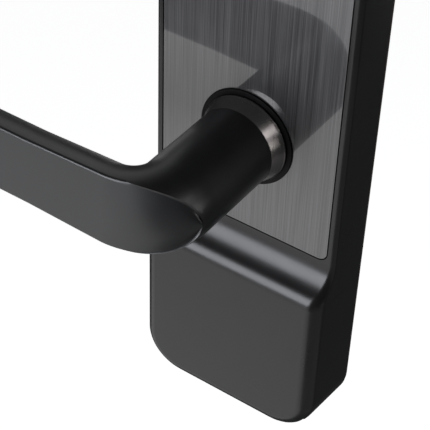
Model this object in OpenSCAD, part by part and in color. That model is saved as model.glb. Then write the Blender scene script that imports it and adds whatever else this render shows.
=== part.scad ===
// Outside unit of a keypad smart lock for a mortise lock.
// The door's face is the plane Y = 0, the front of the lock looks along -Y, +Z is up,
// and the lever turns about the Y axis. All sizes are in millimetres.

/* [Body] */
// Width of the body at the door
body_w = 65; // [62:1:78]
// Height of the body above the lever's axis
body_top = 186; // [182:1:230]
// Height of the body below the lever's axis
body_bottom = 104; // [104:1:130]
// Depth from the door to the face of the upper body
upper_t = 16.5; // [16.5:0.5:22]
// Depth from the door to the face of the battery bulge
bulge_t = 23; // [23:0.5:28]
// Lean of the body's sides, in mm per mm of depth
draft = 0.05; // [0:0.01:0.06]
// Radius of the body's corners at the door
corner_r = 13.75; // [8:0.25:16]
// Round of the upper body's front edge
edge_r = 1.6; // [0.5:0.1:2]
// Round of the bulge's front edge
bulge_r = 4.3; // [2:0.1:4.5]
// Thickness of the side walls
wall = 2.2; // [1.8:0.1:2.6]
// Thickness of the front wall behind the faceplate
front_wall = 1.8; // [1.4:0.1:2]
// Depth at which the step down to the bulge begins, below the axis
step_start = 33; // [32:1:36]
// Steepest slope of the step, in degrees
step_slope = 48; // [40:1:52]
// Share of the step's curve that is hollow
step_hollow = 0.65; // [0.5:0.05:0.75]

/* [Seal and back plate] */
// Thickness of the rubber gasket
gasket_t = 1; // [0.8:0.1:1.2]
// Width of the gasket
gasket_w = 3.5; // [3:0.1:4]
// How far the gasket stays inside the body's edge
gasket_inset = 0.3; // [0.2:0.1:0.5]
// Thickness of the steel back plate
back_t = 1.5; // [1.2:0.1:1.8]
// Height of the upper fixing post above the axis
post_top = 150; // [140:1:165]
// Depth of the lower fixing post below the axis
post_bottom = 36; // [34:1:38]
// Outer radius of a fixing post
post_r = 4; // [3.5:0.1:5]
// Radius of a fixing post's M5 thread core
post_core_r = 2.1; // [1.6:0.1:2.6]
// How far a fixing post reaches into the door
post_reach = 22; // [12:1:30]
// Radius of the hole through the cable grommet
grommet_bore_r = 3.5; // [2:0.1:4]

/* [Faceplate] */
// Rim of the body at each side of the faceplate
face_side_rim = 2.6; // [2.5:0.1:5]
// Lower edge of the faceplate, below the axis
face_bottom = 32; // [24:0.5:32]
// Rim of the body above the faceplate
face_top_rim = 4; // [3.4:0.1:8]
// Thickness of the faceplate
face_t = 1.2; // [0.8:0.1:1.4]
// Radius of the faceplate's corners
face_corner_r = 3; // [1:0.5:6]
// Gap all round the faceplate
face_gap = 0.3; // [0.2:0.05:0.5]

/* [Keypad] */
// Distance from key to key across
key_pitch_x = 16; // [15:0.5:17]
// Distance from key to key up
key_pitch_z = 17; // [15.5:0.5:18]
// Height of the keypad's middle above the axis
keypad_z = 118; // [112:1:124]
// Width and height of a key's cap
key_w = 11.6; // [9:0.1:12]
// How far a key stands above the bezel
key_proud = 1.3; // [1:0.1:1.8]
// Travel of a key
key_travel = 0.8; // [0.5:0.1:1]
// How far the bezel stands above the faceplate
bezel_proud = 0.5; // [0.2:0.1:1]
// Border of the bezel round the outer keys
bezel_border = 4.2; // [3.4:0.1:5]
// Radius of the bezel's corners
bezel_corner_r = 4; // [2:0.5:6]
// Radius of the status lens
lens_r = 2; // [1.5:0.1:3]
// Thickness of the circuit board
board_t = 1.6; // [1:0.1:1.8]

/* [Lever] */
// Distance from the door to the lever's flat front
lever_reach = 65.6; // [60:0.1:75]
// Length of the lever from its axis to its tip
lever_len = 126; // [100:1:140]
// Radius of the round bar that the grip is cut from
bar_r = 11.4; // [10:0.1:12]
// Depth of the grip, from its flat front to its round back
grip_t = 13; // [11:0.1:18]
// Radius of the neck and of the bend
neck_r = 12.15; // [12:0.05:12.5]
// Radius of the curve from the flat front into the bend
outer_curve_r = 34; // [30:1:40]
// Where that curve begins, left of the axis
curve_start = 13.4; // [10:0.1:16]
// Radius of the bend on its inside, between neck and grip
inner_curve_r = 2; // [1:0.5:10]
// Length over which the bar narrows from the bend to the grip
taper_len = 25; // [5:1:50]
// Radius of the collar's rim
collar_r = 13.8; // [13:0.1:14.5]
// Length of the collar
collar_len = 5; // [4:0.1:7]
// Radius of the bush's flange, the dark ring on the faceplate
ring_r = 15.3; // [14.6:0.1:17]
// Height of the bush's flange
ring_h = 0.65; // [0.5:0.05:0.9]
// Radius of the journal that turns in the bush
journal_r = 10.5; // [9.5:0.1:10.8]
// Wall of the bush
bush_wall = 2.05; // [1.6:0.05:2.2]
// How far the lever turns down, in degrees
lever_turn = 45; // [30:1:50]

/* [Spindle and clutch] */
// Side of the square spindle
spindle_w = 8; // [7:0.5:8]
// How far the spindle reaches behind the door's face
spindle_reach = 40; // [20:1:44]
// Radius of the spindle driver
driver_r = 7.95; // [7.6:0.05:8.2]
// Radius of the driver's boss in the back plate
boss_r = 7; // [6.4:0.1:7.2]
// Wall of the hub's skirt round the driver
skirt_wall = 3; // [2.5:0.1:3.2]
// Radius of the clutch pin
pin_r = 1.3; // [1:0.1:1.5]
// How far the clutch slider lifts
slider_travel = 3.4; // [3.2:0.1:3.6]
// Radius of the clutch motor's lead screw
screw_r = 1.5; // [1.2:0.1:2]
// Wire radius of the lever's return spring
spring_wire_r = 0.65; // [0.5:0.05:0.7]

/* [Batteries] */
// Radius of a battery cell
cell_r = 5.25; // [5:0.05:5.3]
// Length of a battery cell
cell_len = 44.5; // [44:0.1:45]
// Number of cells
cell_count = 4; // [2:1:4]
// Wall of the battery tray
tray_wall = 1.2; // [1:0.1:1.4]
// Room at each end of a cell for its contact
contact_room = 1.7; // [1.5:0.1:1.8]
// Radius of the tray's captive screw
cap_screw_r = 1.25; // [1:0.05:1.5]

/* [Fits] */
// Radial clearance of a shaft that turns
run_fit = 0.05; // [0.02:0.01:0.08]
// Clearance of a piece that slides
slide_fit = 0.3; // [0.2:0.05:0.4]
// Clearance between pieces that only stand next to each other
seat_fit = 0.1; // [0.05:0.05:0.15]
// Radius of the small screws' cores
small_screw_r = 1.25; // [1:0.05:1.5]

/* [Hidden] */

$fa = 4;
$fs = 0.6;
// Small overlap that joins solids of one piece, and cuts past a face
eps = 0.01;
cut = 1;
half_w = body_w / 2;
body_h = body_top + body_bottom;
mid_z = (body_top - body_bottom) / 2;
rear_y = -gasket_t;
face_y = -upper_t;
wall_face_y = face_y + face_t + seat_fit;
inner_y = wall_face_y + front_wall;
face_w = body_w - 2 * draft * upper_t - 2 * face_side_rim;
bay_y = -bulge_t + wall;

// The step: a hollow arc that runs into a crown arc with the same slope
step_rise = bulge_t - upper_t;
step_r = step_rise / (1 - cos(step_slope));
hollow_r = step_r * step_hollow;
crown_r = step_r - hollow_r;
step_end = step_start + step_r * sin(step_slope);
function hollow_arc(n = 8) = [for (i = [0:n]) let (a = step_slope * i / n)
    [-step_start - hollow_r * sin(a), face_y - hollow_r * (1 - cos(a))]];
function crown_arc(n = 8) = [for (i = [1:n]) let (a = step_slope * (1 - i / n))
    [-step_end + crown_r * sin(a), -bulge_t + crown_r * (1 - cos(a))]];

// Back plate and its screws
back_half_w = half_w - gasket_inset - gasket_w - slide_fit;
back_inset = half_w - back_half_w;
plate_boss_r = 3.2;
plate_boss_x = back_half_w - plate_boss_r;
top_boss_x = half_w - corner_r + plate_boss_r;
top_boss_drop = 9;
plate_screw_at = [
    [-top_boss_x, body_top - top_boss_drop], [top_boss_x, body_top - top_boss_drop],
    [-plate_boss_x, 62], [plate_boss_x, 62],
    [-plate_boss_x, -step_start + 3], [plate_boss_x, -step_start + 3]
];
small_head_r = small_screw_r * 2;
small_head_t = 1;
grommet_at = [20, 30];
grommet_wall = 1.5;

// Keypad
key_names = ["key_1", "key_2", "key_3", "key_4", "key_5", "key_6",
             "key_7", "key_8", "key_9", "key_clear", "key_0", "key_enter"];
function key_x(i) = (i % 3 - 1) * key_pitch_x;
function key_z(i) = keypad_z + (1.5 - floor(i / 3)) * key_pitch_z;
key_corner_r = 2;
key_flange = 1;
key_flange_t = 0.9;
key_gap = 0.2;
bezel_y = face_y - bezel_proud;
bezel_w = 2 * key_pitch_x + key_w + 2 * bezel_border;
bezel_h = 3 * key_pitch_z + key_w + 2 * bezel_border;
window_w = bezel_w - 4;
window_h = bezel_h - 4;
flange_front_y = wall_face_y + seat_fit;
flange_back_y = flange_front_y + key_flange_t;
membrane_t = 1.2;
membrane_y = max(inner_y, flange_back_y + key_travel) + seat_fit;
dome_r = 3.6;
board_y = membrane_y + membrane_t + seat_fit;
board_back_y = board_y + board_t;
board_w = 48;
board_bottom_z = keypad_z - bezel_h / 2 - 3;
board_top_z = keypad_z + bezel_h / 2 + 13;
lens_z = keypad_z + bezel_h / 2 + 7;
board_screw_at = [
    [-board_w / 2 + 3.5, board_top_z - 3.5], [board_w / 2 - 3.5, board_top_z - 3.5],
    [-board_w / 2 + 3.5, board_bottom_z - 0.5], [board_w / 2 - 3.5, board_bottom_z - 0.5]
];
board_boss_r = 2.8;

// Lever, from the front back to the hub
shoulder_y = face_y - ring_h - 0.15;
collar_front_y = shoulder_y - collar_len;
collar_seat_r = neck_r - 0.95;
bush_r = journal_r + run_fit + bush_wall;
bush_back_y = inner_y + 1.2;
washer_t = 0.3;
hub_front_y = bush_back_y + washer_t + 0.1;
web_t = 2.2;
web_r = bush_r - 0.2;
web_back_y = hub_front_y + web_t;
drive_r = 7.2;
hub_screw_len = 5;
hub_washer_t = 1;
hub_head_t = 1.6;
hub_head_r = 3.5;
hub_screw_r = 2;
// The neck is bent a quarter turn round an upright axis, and the bar's front is cut away
bar_y = -lever_reach + grip_t - bar_r;
bend_path_r = neck_r + inner_curve_r;
bend_y = bar_y + bend_path_r;
tip_round = 2.5;

// Clutch, round the same axis
driver_front_y = web_back_y + hub_washer_t + hub_head_t + 0.3;
driver_back_y = -back_t - 0.7;
skirt_in_r = driver_r + run_fit;
skirt_r = skirt_in_r + skirt_wall;
skirt_back_y = -back_t - 0.8;
pin_y = (driver_front_y + driver_back_y) / 2;
// The pin follows the shoe's round, which lifts it less at the end of the lever's turn
pin_travel_share = 0.62;
pin_clear = 0.25;
pin_inner_r = driver_r - slider_travel * pin_travel_share + pin_clear;
pin_head_r = 1.8;
pin_head_t = 1;
pin_spring_len = 1.9;
pin_outer_r = skirt_r + seat_fit + pin_spring_len + pin_head_t;
shoe_r = pin_outer_r + seat_fit;
shoe_t = 2.4;
shoe_half_y = 1.9;
stem_w = 8;
nut_w = 10;
nut_h = 7;
slider_front = 3.4;
guide_fit = 0.25;
guide_wall = 2;
nut_bottom_z = shoe_r + shoe_t + 6;
motor_y = inner_y + 6;
gearbox_bottom_z = nut_bottom_z + nut_h + slider_travel + 5;
gearbox_h = 9;
motor_h = 15;
motor_w = 12;
motor_t = 10;
bracket_t = 1.2;
bracket_ear = 6.5;
screw_bottom_z = nut_bottom_z - 1.5;

// Return spring and stops
spring_r = web_r + 0.6 + spring_wire_r;
spring_back_y = web_back_y + 1;
spring_turns = 2;
spring_pitch = 2 * spring_wire_r + 0.2;
lug_r = 17;
lug_front_y = spring_back_y + 0.6;
lug_t = 3.2;
lug_half = 8;
stop_gap = 0.6;
tooth_angle = 14;
stop_in_r = lug_r + slide_fit;
stop_r = stop_in_r + 3;
stop_screw_x = stop_r + 2;
stop_screw_z = -5;

// Battery bay
cell_pitch = 2 * cell_r + 0.5;
cell_y = bay_y + slide_fit + 0.2 + cell_r;
cells_h = cell_count * cell_pitch;
tray_half_w = cell_len / 2 + contact_room + tray_wall;
cap_floor_z = -body_bottom + 5;
tray_bottom_z = cap_floor_z;
tray_top_z = tray_bottom_z + cells_h + 2 * tray_wall + 0.4;
tray_back_y = cell_y + cell_r + 0.2;
cap_half_w = tray_half_w + 0.6;
cap_back_y = -3 - slide_fit;
latch_y = -5.8;
latch_half_t = 2.4;
cap_head_r = 1.95;
latch_z = cap_floor_z + 2;
latch_h = 6;
terminal_z = tray_top_z + 0.6;

// Lead from the bay's terminal up the left side to the board's lower connector
lead_r = 0.9;
lead_route = [
    [-9.2, -4, -46.5], [-13, -3.4, -46], [-17, -2.9, -42], [-20, -2.9, -36], [-20.5, -2.9, -20],
    [-20.5, -2.9, 30], [-20, -3.4, 48], [-17, -5, 60], [-12, -7.5, 69], [-6.2, -8.8, 74.5]
];

// Rounded rectangle in the sketch plane, centred
module round_rect(w, h, r) {
    square([w - 2 * r, h], center = true);
    square([w, h - 2 * r], center = true);
    for (x = [-1, 1], z = [-1, 1]) translate([x * (w / 2 - r), z * (h / 2 - r)]) circle(r);
}

// Sketch in X and Z, given thickness from y0 towards the door
module slab(y0, t) {
    translate([0, y0 + t, 0]) rotate([90, 0, 0]) linear_extrude(t) children();
}

// Cylinder along Y from y0 to y1
module rod(y0, y1, r) {
    translate([0, y1, 0]) rotate([90, 0, 0]) cylinder(h = y1 - y0, r = r);
}

// Cone along Y, with radius r0 at y0 and r1 at y1
module cone(y0, y1, r0, r1) {
    translate([0, y1, 0]) rotate([90, 0, 0]) cylinder(h = y1 - y0, r1 = r1, r2 = r0);
}

// Box between two corners
module box(low, high) {
    translate(low) cube(high - low);
}

// Wire of radius r bent along the points, with a ring of eight at each
module wire(points, r, sides = 8) {
    n = len(points);
    function tangent(i) = let (a = points[max(i - 1, 0)], b = points[min(i + 1, n - 1)]) (b - a) / norm(b - a);
    function side(t) = let (s = cross(t, abs(t[1]) < 0.9 ? [0, 1, 0] : [1, 0, 0])) s / norm(s);
    rings = [for (i = [0:n - 1]) let (t = tangent(i), u = side(t), v = cross(t, u))
        for (k = [0:sides - 1]) points[i] + r * (cos(360 * k / sides) * u + sin(360 * k / sides) * v)];
    skin = [for (i = [0:n - 2], k = [0:sides - 1])
        [i * sides + k, (i + 1) * sides + k, (i + 1) * sides + (k + 1) % sides, i * sides + (k + 1) % sides]];
    first = [for (k = [0:sides - 1]) k];
    last = [for (k = [sides - 1:-1:0]) (n - 1) * sides + k];
    polyhedron(rings, concat([first], skin, [last]), convexity = 6);
}

// Sector of a ring in the sketch plane, between two angles from straight up, towards -X
module ring_sector(r_in, r_out, a0, a1, n = 12) {
    inner = [for (i = [0:n]) let (a = a0 + (a1 - a0) * i / n) [-r_in * sin(a), r_in * cos(a)]];
    outer = [for (i = [n:-1:0]) let (a = a0 + (a1 - a0) * i / n) [-r_out * sin(a), r_out * cos(a)]];
    polygon(concat(inner, outer));
}

// One drafted block with a rounded front edge, as deep as t
module drafted_block(t, fillet) {
    steps = 5;
    levels = concat([0], [for (i = [0:steps]) t - fillet + fillet * sin(90 * i / steps)]);
    hull() for (k = [0:steps + 1], x = [-1, 1], z = [-1, 1])
        let (d = levels[k], tuck = k == 0 ? 0 : fillet * (1 - cos(90 * (k - 1) / steps)),
             w = half_w - draft * d - tuck, h = body_h / 2 - draft * d - tuck,
             r = max(corner_r - draft * d - tuck, 0.5))
            translate([x * (w - r), -d, mid_z + z * (h - r)]) rotate([90, 0, 0])
                cylinder(h = 0.01, r = r, $fn = 32);
}

// Outside shape of the body, from the door to its front
module body_shape() {
    drafted_block(upper_t, edge_r);
    intersection() {
        drafted_block(bulge_t, bulge_r);
        rotate([90, 0, 90]) translate([0, 0, -half_w]) linear_extrude(body_w) step_profile();
    }
}

// Side profile of the bulge, as points of Y and Z
module step_profile() {
    polygon(concat([for (p = concat(hollow_arc(), crown_arc())) [p[1], p[0]]],
        [[-bulge_t, -body_bottom - cut], [0, -body_bottom - cut], [0, -step_start]]));
}

// Opening in the body's underside that the tray passes through
module tray_opening(gap) {
    box([-cap_half_w - gap, bay_y - gap, -body_bottom - cut],
        [cap_half_w + gap, cap_back_y + gap, cap_floor_z + gap]);
}

// Die-cast body with its bosses
module housing() {
    color("#2b2b2c") difference() {
        union() {
            difference() {
                intersection() {
                    body_shape();
                    box([-body_w, -bulge_t - cut, -body_bottom - cut], [body_w, rear_y, body_top + cut]);
                }
                upper_cavity();
                bay_cavity();
            }
            for (p = plate_screw_at) translate([p[0], 0, p[1]]) rod(inner_y - eps, -back_t - seat_fit, plate_boss_r);
            for (p = board_screw_at) translate([p[0], 0, p[1]]) rod(inner_y - eps, board_y - seat_fit, board_boss_r);
            for (x = [-1, 1]) translate([x * stop_screw_x, 0, stop_screw_z])
                rod(inner_y - eps, lug_front_y - seat_fit, small_head_r);
            for (x = [-1, 1]) scale([x, 1, 1]) box([tray_half_w + slide_fit, bay_y - 0.5, cap_floor_z + 2],
                [half_w - draft * bulge_t - wall + 0.5, tray_back_y - 1, tray_top_z - 3]);
        }
        slab(face_y - cut, face_t + seat_fit + cut) face_outline(face_gap);
        translate([0, 0, keypad_z]) slab(face_y, upper_t / 2) round_rect(window_w, window_h, bezel_corner_r);
        translate([0, 0, lens_z]) rod(face_y, inner_y + cut, lens_r + seat_fit);
        rod(face_y, inner_y + cut, bush_r + run_fit);
        for (p = plate_screw_at) translate([p[0], 0, p[1]]) rod(-back_t - 9, cut, small_screw_r);
        for (p = board_screw_at) translate([p[0], 0, p[1]]) rod(board_y - 2.4, cut, small_screw_r);
        for (x = [-1, 1]) translate([x * stop_screw_x, 0, stop_screw_z])
            rod(lug_front_y - 4.6, cut, small_screw_r);
        tray_opening(slide_fit);
    }
}

// Room inside the upper body
module upper_cavity() {
    h = body_h - 2 * wall - 2 * draft * upper_t;
    w = body_w - 2 * wall - 2 * draft * upper_t;
    translate([0, 0, mid_z]) slab(inner_y, -inner_y + cut) round_rect(w, h, corner_r - wall);
}

// Room inside the battery bulge
module bay_cavity() {
    w = body_w - 2 * wall - 2 * draft * bulge_t;
    low = -body_bottom + wall + draft * bulge_t;
    high = -step_end;
    translate([0, 0, (low + high) / 2]) slab(bay_y, -bay_y + cut) round_rect(w, high - low, 2.5);
}

// Outline of the body at the door, made smaller all round
module door_outline(inset) {
    translate([0, mid_z]) round_rect(body_w - 2 * inset, body_h - 2 * inset, corner_r - inset);
}

module gasket() {
    color("#6b6259") slab(rear_y, gasket_t) difference() {
        door_outline(gasket_inset);
        door_outline(gasket_inset + gasket_w);
    }
}

module back_plate() {
    color("#a9abad") difference() {
        slab(-back_t, back_t) door_outline(back_inset);
        rod(-back_t - cut, cut, boss_r + run_fit);
        for (z = [post_top, -post_bottom]) translate([0, 0, z]) rod(-back_t - cut, cut, post_r);
        for (p = plate_screw_at) translate([p[0], 0, p[1]]) {
            rod(-back_t - cut, cut, small_screw_r + seat_fit);
            rod(-small_head_t, cut, small_head_r + seat_fit);
        }
        translate([grommet_at[0], 0, grommet_at[1]]) rod(-back_t - cut, cut, grommet_bore_r + grommet_wall);
    }
}

// Two threaded posts riveted into the back plate
module fixing_posts() {
    color("#b9bbbd") for (z = [post_top, -post_bottom]) translate([0, 0, z]) difference() {
        union() {
            rod(-back_t - 1.2, -back_t, post_r + 2);
            rod(-back_t - eps, post_reach, post_r);
        }
        rod(-back_t, post_reach + cut, post_core_r);
    }
}

module plate_screws() {
    color("#8f9193") for (p = plate_screw_at) translate([p[0], 0, p[1]]) small_screw(0, -8);
}

// Low-head screw whose head's face is at y0, with its tip at y1, driven towards -Y
module small_screw(y0, y1) {
    difference() {
        union() {
            rod(y0 - small_head_t, y0, small_head_r);
            rod(y1, y0 - small_head_t + eps, small_screw_r);
        }
        for (a = [0, 90]) rotate([0, a, 0]) box([-1.3, y0 - 0.5, -0.3], [1.3, y0 + cut, 0.3]);
    }
}

module cable_grommet() {
    color("#222222") translate([grommet_at[0], 0, grommet_at[1]]) difference() {
        union() {
            rod(-back_t - eps, 0, grommet_bore_r + grommet_wall);
            rod(-back_t - 1.2, -back_t, grommet_bore_r + grommet_wall + 1.4);
        }
        rod(-back_t - 1.2 - cut, cut, grommet_bore_r);
    }
}

// Outline of the faceplate, made larger all round
module face_outline(grow) {
    low = -face_bottom;
    high = body_top - face_top_rim;
    translate([0, (low + high) / 2])
        round_rect(face_w + 2 * grow, high - low + 2 * grow, face_corner_r + grow);
}

module faceplate() {
    color("#5a5a5c") difference() {
        slab(face_y, face_t) face_outline(0);
        translate([0, 0, keypad_z]) slab(face_y - cut, face_t + 2 * cut)
            round_rect(bezel_w + 2 * seat_fit, bezel_h + 2 * seat_fit, bezel_corner_r);
        translate([0, 0, lens_z]) rod(face_y - cut, face_y + face_t + cut, lens_r + seat_fit);
        rod(face_y - cut, face_y + face_t + cut, bush_r + run_fit);
    }
}

module keypad_bezel() {
    color("#101113") difference() {
        translate([0, 0, keypad_z]) slab(bezel_y, wall_face_y - bezel_y) round_rect(bezel_w, bezel_h, bezel_corner_r);
        for (i = [0:11]) translate([key_x(i), 0, key_z(i)]) slab(bezel_y - cut, 5)
            round_rect(key_w + 2 * key_gap, key_w + 2 * key_gap, key_corner_r + key_gap);
    }
}

module status_lens() {
    color("#d9e6ee") translate([0, 0, lens_z]) {
        rod(face_y - 0.1, inner_y + 0.3, lens_r);
        rod(inner_y + seat_fit, inner_y + 1, lens_r + 1.5);
    }
}

// Silicone mat with a dome under each key
module keypad_membrane() {
    color("#c9c9c4") {
        translate([0, 0, keypad_z]) slab(membrane_y, membrane_t) round_rect(board_w - 1, bezel_h - 1, 2);
        for (i = [0:11]) translate([key_x(i), 0, key_z(i)])
            cone(flange_back_y + seat_fit, membrane_y + eps, dome_r - 0.8, dome_r);
    }
}

module main_board() {
    color("#1f5a35") difference() {
        translate([0, 0, (board_top_z + board_bottom_z) / 2 - 2]) slab(board_y, board_t)
            round_rect(board_w, board_top_z - board_bottom_z + 4, 1);
        for (p = board_screw_at) translate([p[0], 0, p[1]])
            rod(board_y - cut, board_back_y + cut, small_screw_r + seat_fit);
    }
}

// Parts on the back of the board: processor, radio, sounder, capacitor and two connectors
module board_components() {
    y = board_back_y;
    color("#17181a") {
        box([-7, y, keypad_z + 4], [7, y + 1.4, keypad_z + 18]);
        box([-19, y, keypad_z - 8], [-8, y + 2, keypad_z + 10]);
        translate([14, 0, keypad_z + 12]) rod(y, y + 3.4, 5);
        translate([14, 0, keypad_z - 4]) rod(y, y + 4.2, 3);
        box([-5, y, board_bottom_z - 2], [5, y + 3.4, board_bottom_z + 3]);
        box([8, y, board_bottom_z + 5], [18, y + 3, board_bottom_z + 10]);
    }
}

module board_screws() {
    color("#8f9193") for (p = board_screw_at) translate([p[0], 0, p[1]])
        small_screw(board_back_y + small_head_t, board_y - 2.2);
}

// One key: a cap that passes the bezel and a flange that stays behind it
module key(i) {
    color("#26272a") translate([key_x(i), 0, key_z(i)]) {
        slab(bezel_y - key_proud, flange_back_y - bezel_y + key_proud) round_rect(key_w, key_w, key_corner_r);
        slab(flange_front_y, key_flange_t)
            round_rect(key_w + 2 * key_flange, key_w + 2 * key_flange, key_corner_r + key_flange);
    }
}

// Plan of the lever seen from above: flat front, curve into the neck, and a rounded tip
function lever_plan() = let (turn = 62, back_y = -lever_reach + grip_t) concat(
    [for (i = [0:12]) let (a = turn * i / 12)
        [-curve_start + outer_curve_r * sin(a), -lever_reach + outer_curve_r * (1 - cos(a))]],
    [[neck_r + cut, shoulder_y], [-neck_r - cut, shoulder_y], [-lever_len + tip_round, shoulder_y]],
    [for (y = [back_y - tip_round, -lever_reach + tip_round]) [-lever_len, y]],
    [for (i = [1:6]) let (a = 15 * i)
        [-lever_len + tip_round * (1 - cos(a)), -lever_reach + tip_round * (1 - sin(a))]]
);

// Lever: journal, collar seat, neck, bend and a grip cut flat along its front
module lever() {
    color("#3a3b3e") {
        difference() {
            union() {
                rod(hub_front_y - eps, hub_front_y + web_t - 0.2, drive_r);
                rod(shoulder_y - eps, hub_front_y, journal_r);
                rod(collar_front_y - eps, shoulder_y, collar_seat_r);
            }
            rod(hub_front_y - hub_screw_len, 0, hub_screw_r);
        }
        intersection() {
            union() {
                rod(bend_y, collar_front_y, neck_r);
                translate([-bend_path_r, bend_y, 0]) rotate([0, 0, -90])
                    rotate_extrude(angle = 90, $fn = 96) translate([bend_path_r, 0]) circle(neck_r);
                translate([-bend_path_r, bar_y, 0]) rotate([0, -90, 0]) {
                    cylinder(h = taper_len, r1 = neck_r, r2 = bar_r);
                    translate([0, 0, taper_len]) cylinder(h = lever_len - bend_path_r - taper_len, r = bar_r);
                }
            }
            translate([0, 0, -2 * bar_r]) linear_extrude(4 * bar_r) polygon(lever_plan());
        }
    }
}

module lever_collar() {
    color("#6d6a68") difference() {
        cone(collar_front_y, shoulder_y, neck_r, collar_r);
        rod(collar_front_y - cut, shoulder_y + cut, collar_seat_r + 0.02);
    }
}

module lever_bush() {
    color("#131313") difference() {
        union() {
            rod(face_y - ring_h, face_y, ring_r);
            rod(face_y - eps, bush_back_y, bush_r);
        }
        rod(face_y - ring_h - cut, bush_back_y + cut, journal_r + run_fit);
    }
}

module thrust_washer() {
    color("#d8d4c8") difference() {
        rod(bush_back_y + 0.05, bush_back_y + 0.05 + washer_t, web_r);
        rod(bush_back_y - cut, bush_back_y + cut, journal_r + run_fit);
    }
}

// Hub on the end of the lever: web, skirt round the driver, and stop lug
module lever_hub() {
    color("#9a9c9f") difference() {
        union() {
            rod(hub_front_y, web_back_y, web_r);
            rod(web_back_y - eps, skirt_back_y, skirt_r);
            slab(lug_front_y, lug_t) ring_sector(skirt_r - 1, lug_r, 180 - lug_half, 180 + lug_half);
        }
        rod(hub_front_y - cut, web_back_y + cut, drive_r + 0.02);
        rod(web_back_y, skirt_back_y + cut, skirt_in_r);
        translate([0, pin_y, 0]) cylinder(h = 20, r = pin_r + run_fit);
        rotate([0, 180, 0]) translate([0, 0, spring_r]) rod(lug_front_y - cut, lug_front_y + 2, spring_wire_r + seat_fit);
    }
}

module hub_washer() {
    color("#b5b7b9") difference() {
        rod(web_back_y + 0.02, web_back_y + hub_washer_t, skirt_in_r - 0.2);
        rod(web_back_y - cut, web_back_y + 2, hub_screw_r + seat_fit);
    }
}

module hub_screw() {
    color("#8f9193") difference() {
        union() {
            rod(web_back_y + hub_washer_t, web_back_y + hub_washer_t + hub_head_t, hub_head_r);
            rod(hub_front_y - hub_screw_len + 0.5, web_back_y + hub_washer_t + eps, hub_screw_r - 0.02);
        }
        translate([0, web_back_y + hub_washer_t + hub_head_t + 0.01, 0]) rotate([90, 0, 0])
            cylinder(h = 1, r = 1.6, $fn = 6);
    }
}

// Torsion spring: a leg along Y into the hub's lug, two turns, and a leg to the fixed boss
module return_spring() {
    turn_steps = 24;
    n = spring_turns * turn_steps;
    coil = [for (i = [0:n]) let (a = 180 - 360 * i / turn_steps)
        [-spring_r * sin(a), spring_back_y - spring_wire_r - i / turn_steps * spring_pitch, spring_r * cos(a)]];
    leg = [[0, lug_front_y + 1.6, -spring_r], [0, spring_back_y, -spring_r]];
    end = coil[n];
    tail = [[end[0] - 6, end[1], end[2] - 1.5], [end[0] - 12, end[1], end[2] - 1.5]];
    color("#7c7e81") wire(concat(leg, coil, tail), spring_wire_r);
}

// Fixed plate whose two teeth stop the hub's lug
module stop_plate() {
    t = lug_t - 0.4;
    color("#a1a3a5") difference() {
        union() {
            slab(lug_front_y, t) ring_sector(stop_in_r, stop_r, 75, 285, 32);
            for (a = [180 - lug_half - stop_gap - tooth_angle, 180 + lug_half + lever_turn + stop_gap])
                slab(lug_front_y, t) ring_sector(skirt_r + 1, stop_in_r + 1, a, a + tooth_angle, 4);
            for (x = [-1, 1]) translate([x * stop_screw_x, 0, stop_screw_z]) {
                rod(lug_front_y, lug_front_y + t, small_head_r + 0.6);
                scale([x, 1, 1]) box([-4.6, lug_front_y, -3], [0, lug_front_y + t, 3]);
            }
        }
        for (x = [-1, 1]) translate([x * stop_screw_x, 0, stop_screw_z])
            rod(lug_front_y - cut, 0, small_screw_r + seat_fit);
    }
}

module stop_screws() {
    color("#8f9193") for (x = [-1, 1]) translate([x * stop_screw_x, 0, stop_screw_z])
        small_screw(lug_front_y + lug_t - 0.4 + small_head_t, lug_front_y - 4.4);
}

// Driver that the clutch pin locks to the hub
module spindle_driver() {
    side = spindle_w + 2 * run_fit;
    color("#c0b38c") difference() {
        union() {
            rod(driver_front_y, driver_back_y, driver_r);
            rod(driver_back_y - eps, -0.2, boss_r);
        }
        box([-side / 2, driver_front_y + 0.8, -side / 2], [side / 2, cut, side / 2]);
        translate([0, pin_y, pin_inner_r - 0.4]) cylinder(h = 10, r = pin_r + run_fit);
    }
}

module spindle() {
    color("#b9bbbd") intersection() {
        box([-spindle_w / 2, driver_front_y + 1, -spindle_w / 2], [spindle_w / 2, spindle_reach, spindle_w / 2]);
        rotate([0, 45, 0]) box([-spindle_w * 0.66, -upper_t, -spindle_w * 0.66],
            [spindle_w * 0.66, spindle_reach + cut, spindle_w * 0.66]);
    }
}

// Pin that rides in the hub's skirt, with a round head that follows the shoe
module clutch_pin() {
    color("#d0d2d4") translate([0, pin_y, 0]) {
        translate([0, 0, pin_inner_r]) cylinder(h = pin_outer_r - pin_inner_r - pin_head_t + eps, r = pin_r);
        intersection() {
            translate([0, 0, pin_outer_r - pin_head_t]) cylinder(h = 2 * pin_head_t, r = pin_head_r);
            rotate([90, 0, 0]) translate([0, 0, -5]) cylinder(h = 10, r = pin_outer_r);
        }
    }
}

module pin_spring() {
    turns = 3;
    r = pin_r + 0.3;
    wire_r = 0.18;
    z0 = skirt_r + seat_fit + wire_r;
    rise = pin_spring_len - 2 * wire_r - seat_fit;
    points = [for (i = [0:turns * 16]) let (a = 360 * i / 16)
        [r * cos(a), pin_y + r * sin(a), z0 + rise * i / (turns * 16)]];
    color("#7c7e81") wire(points, wire_r, 6);
}

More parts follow.
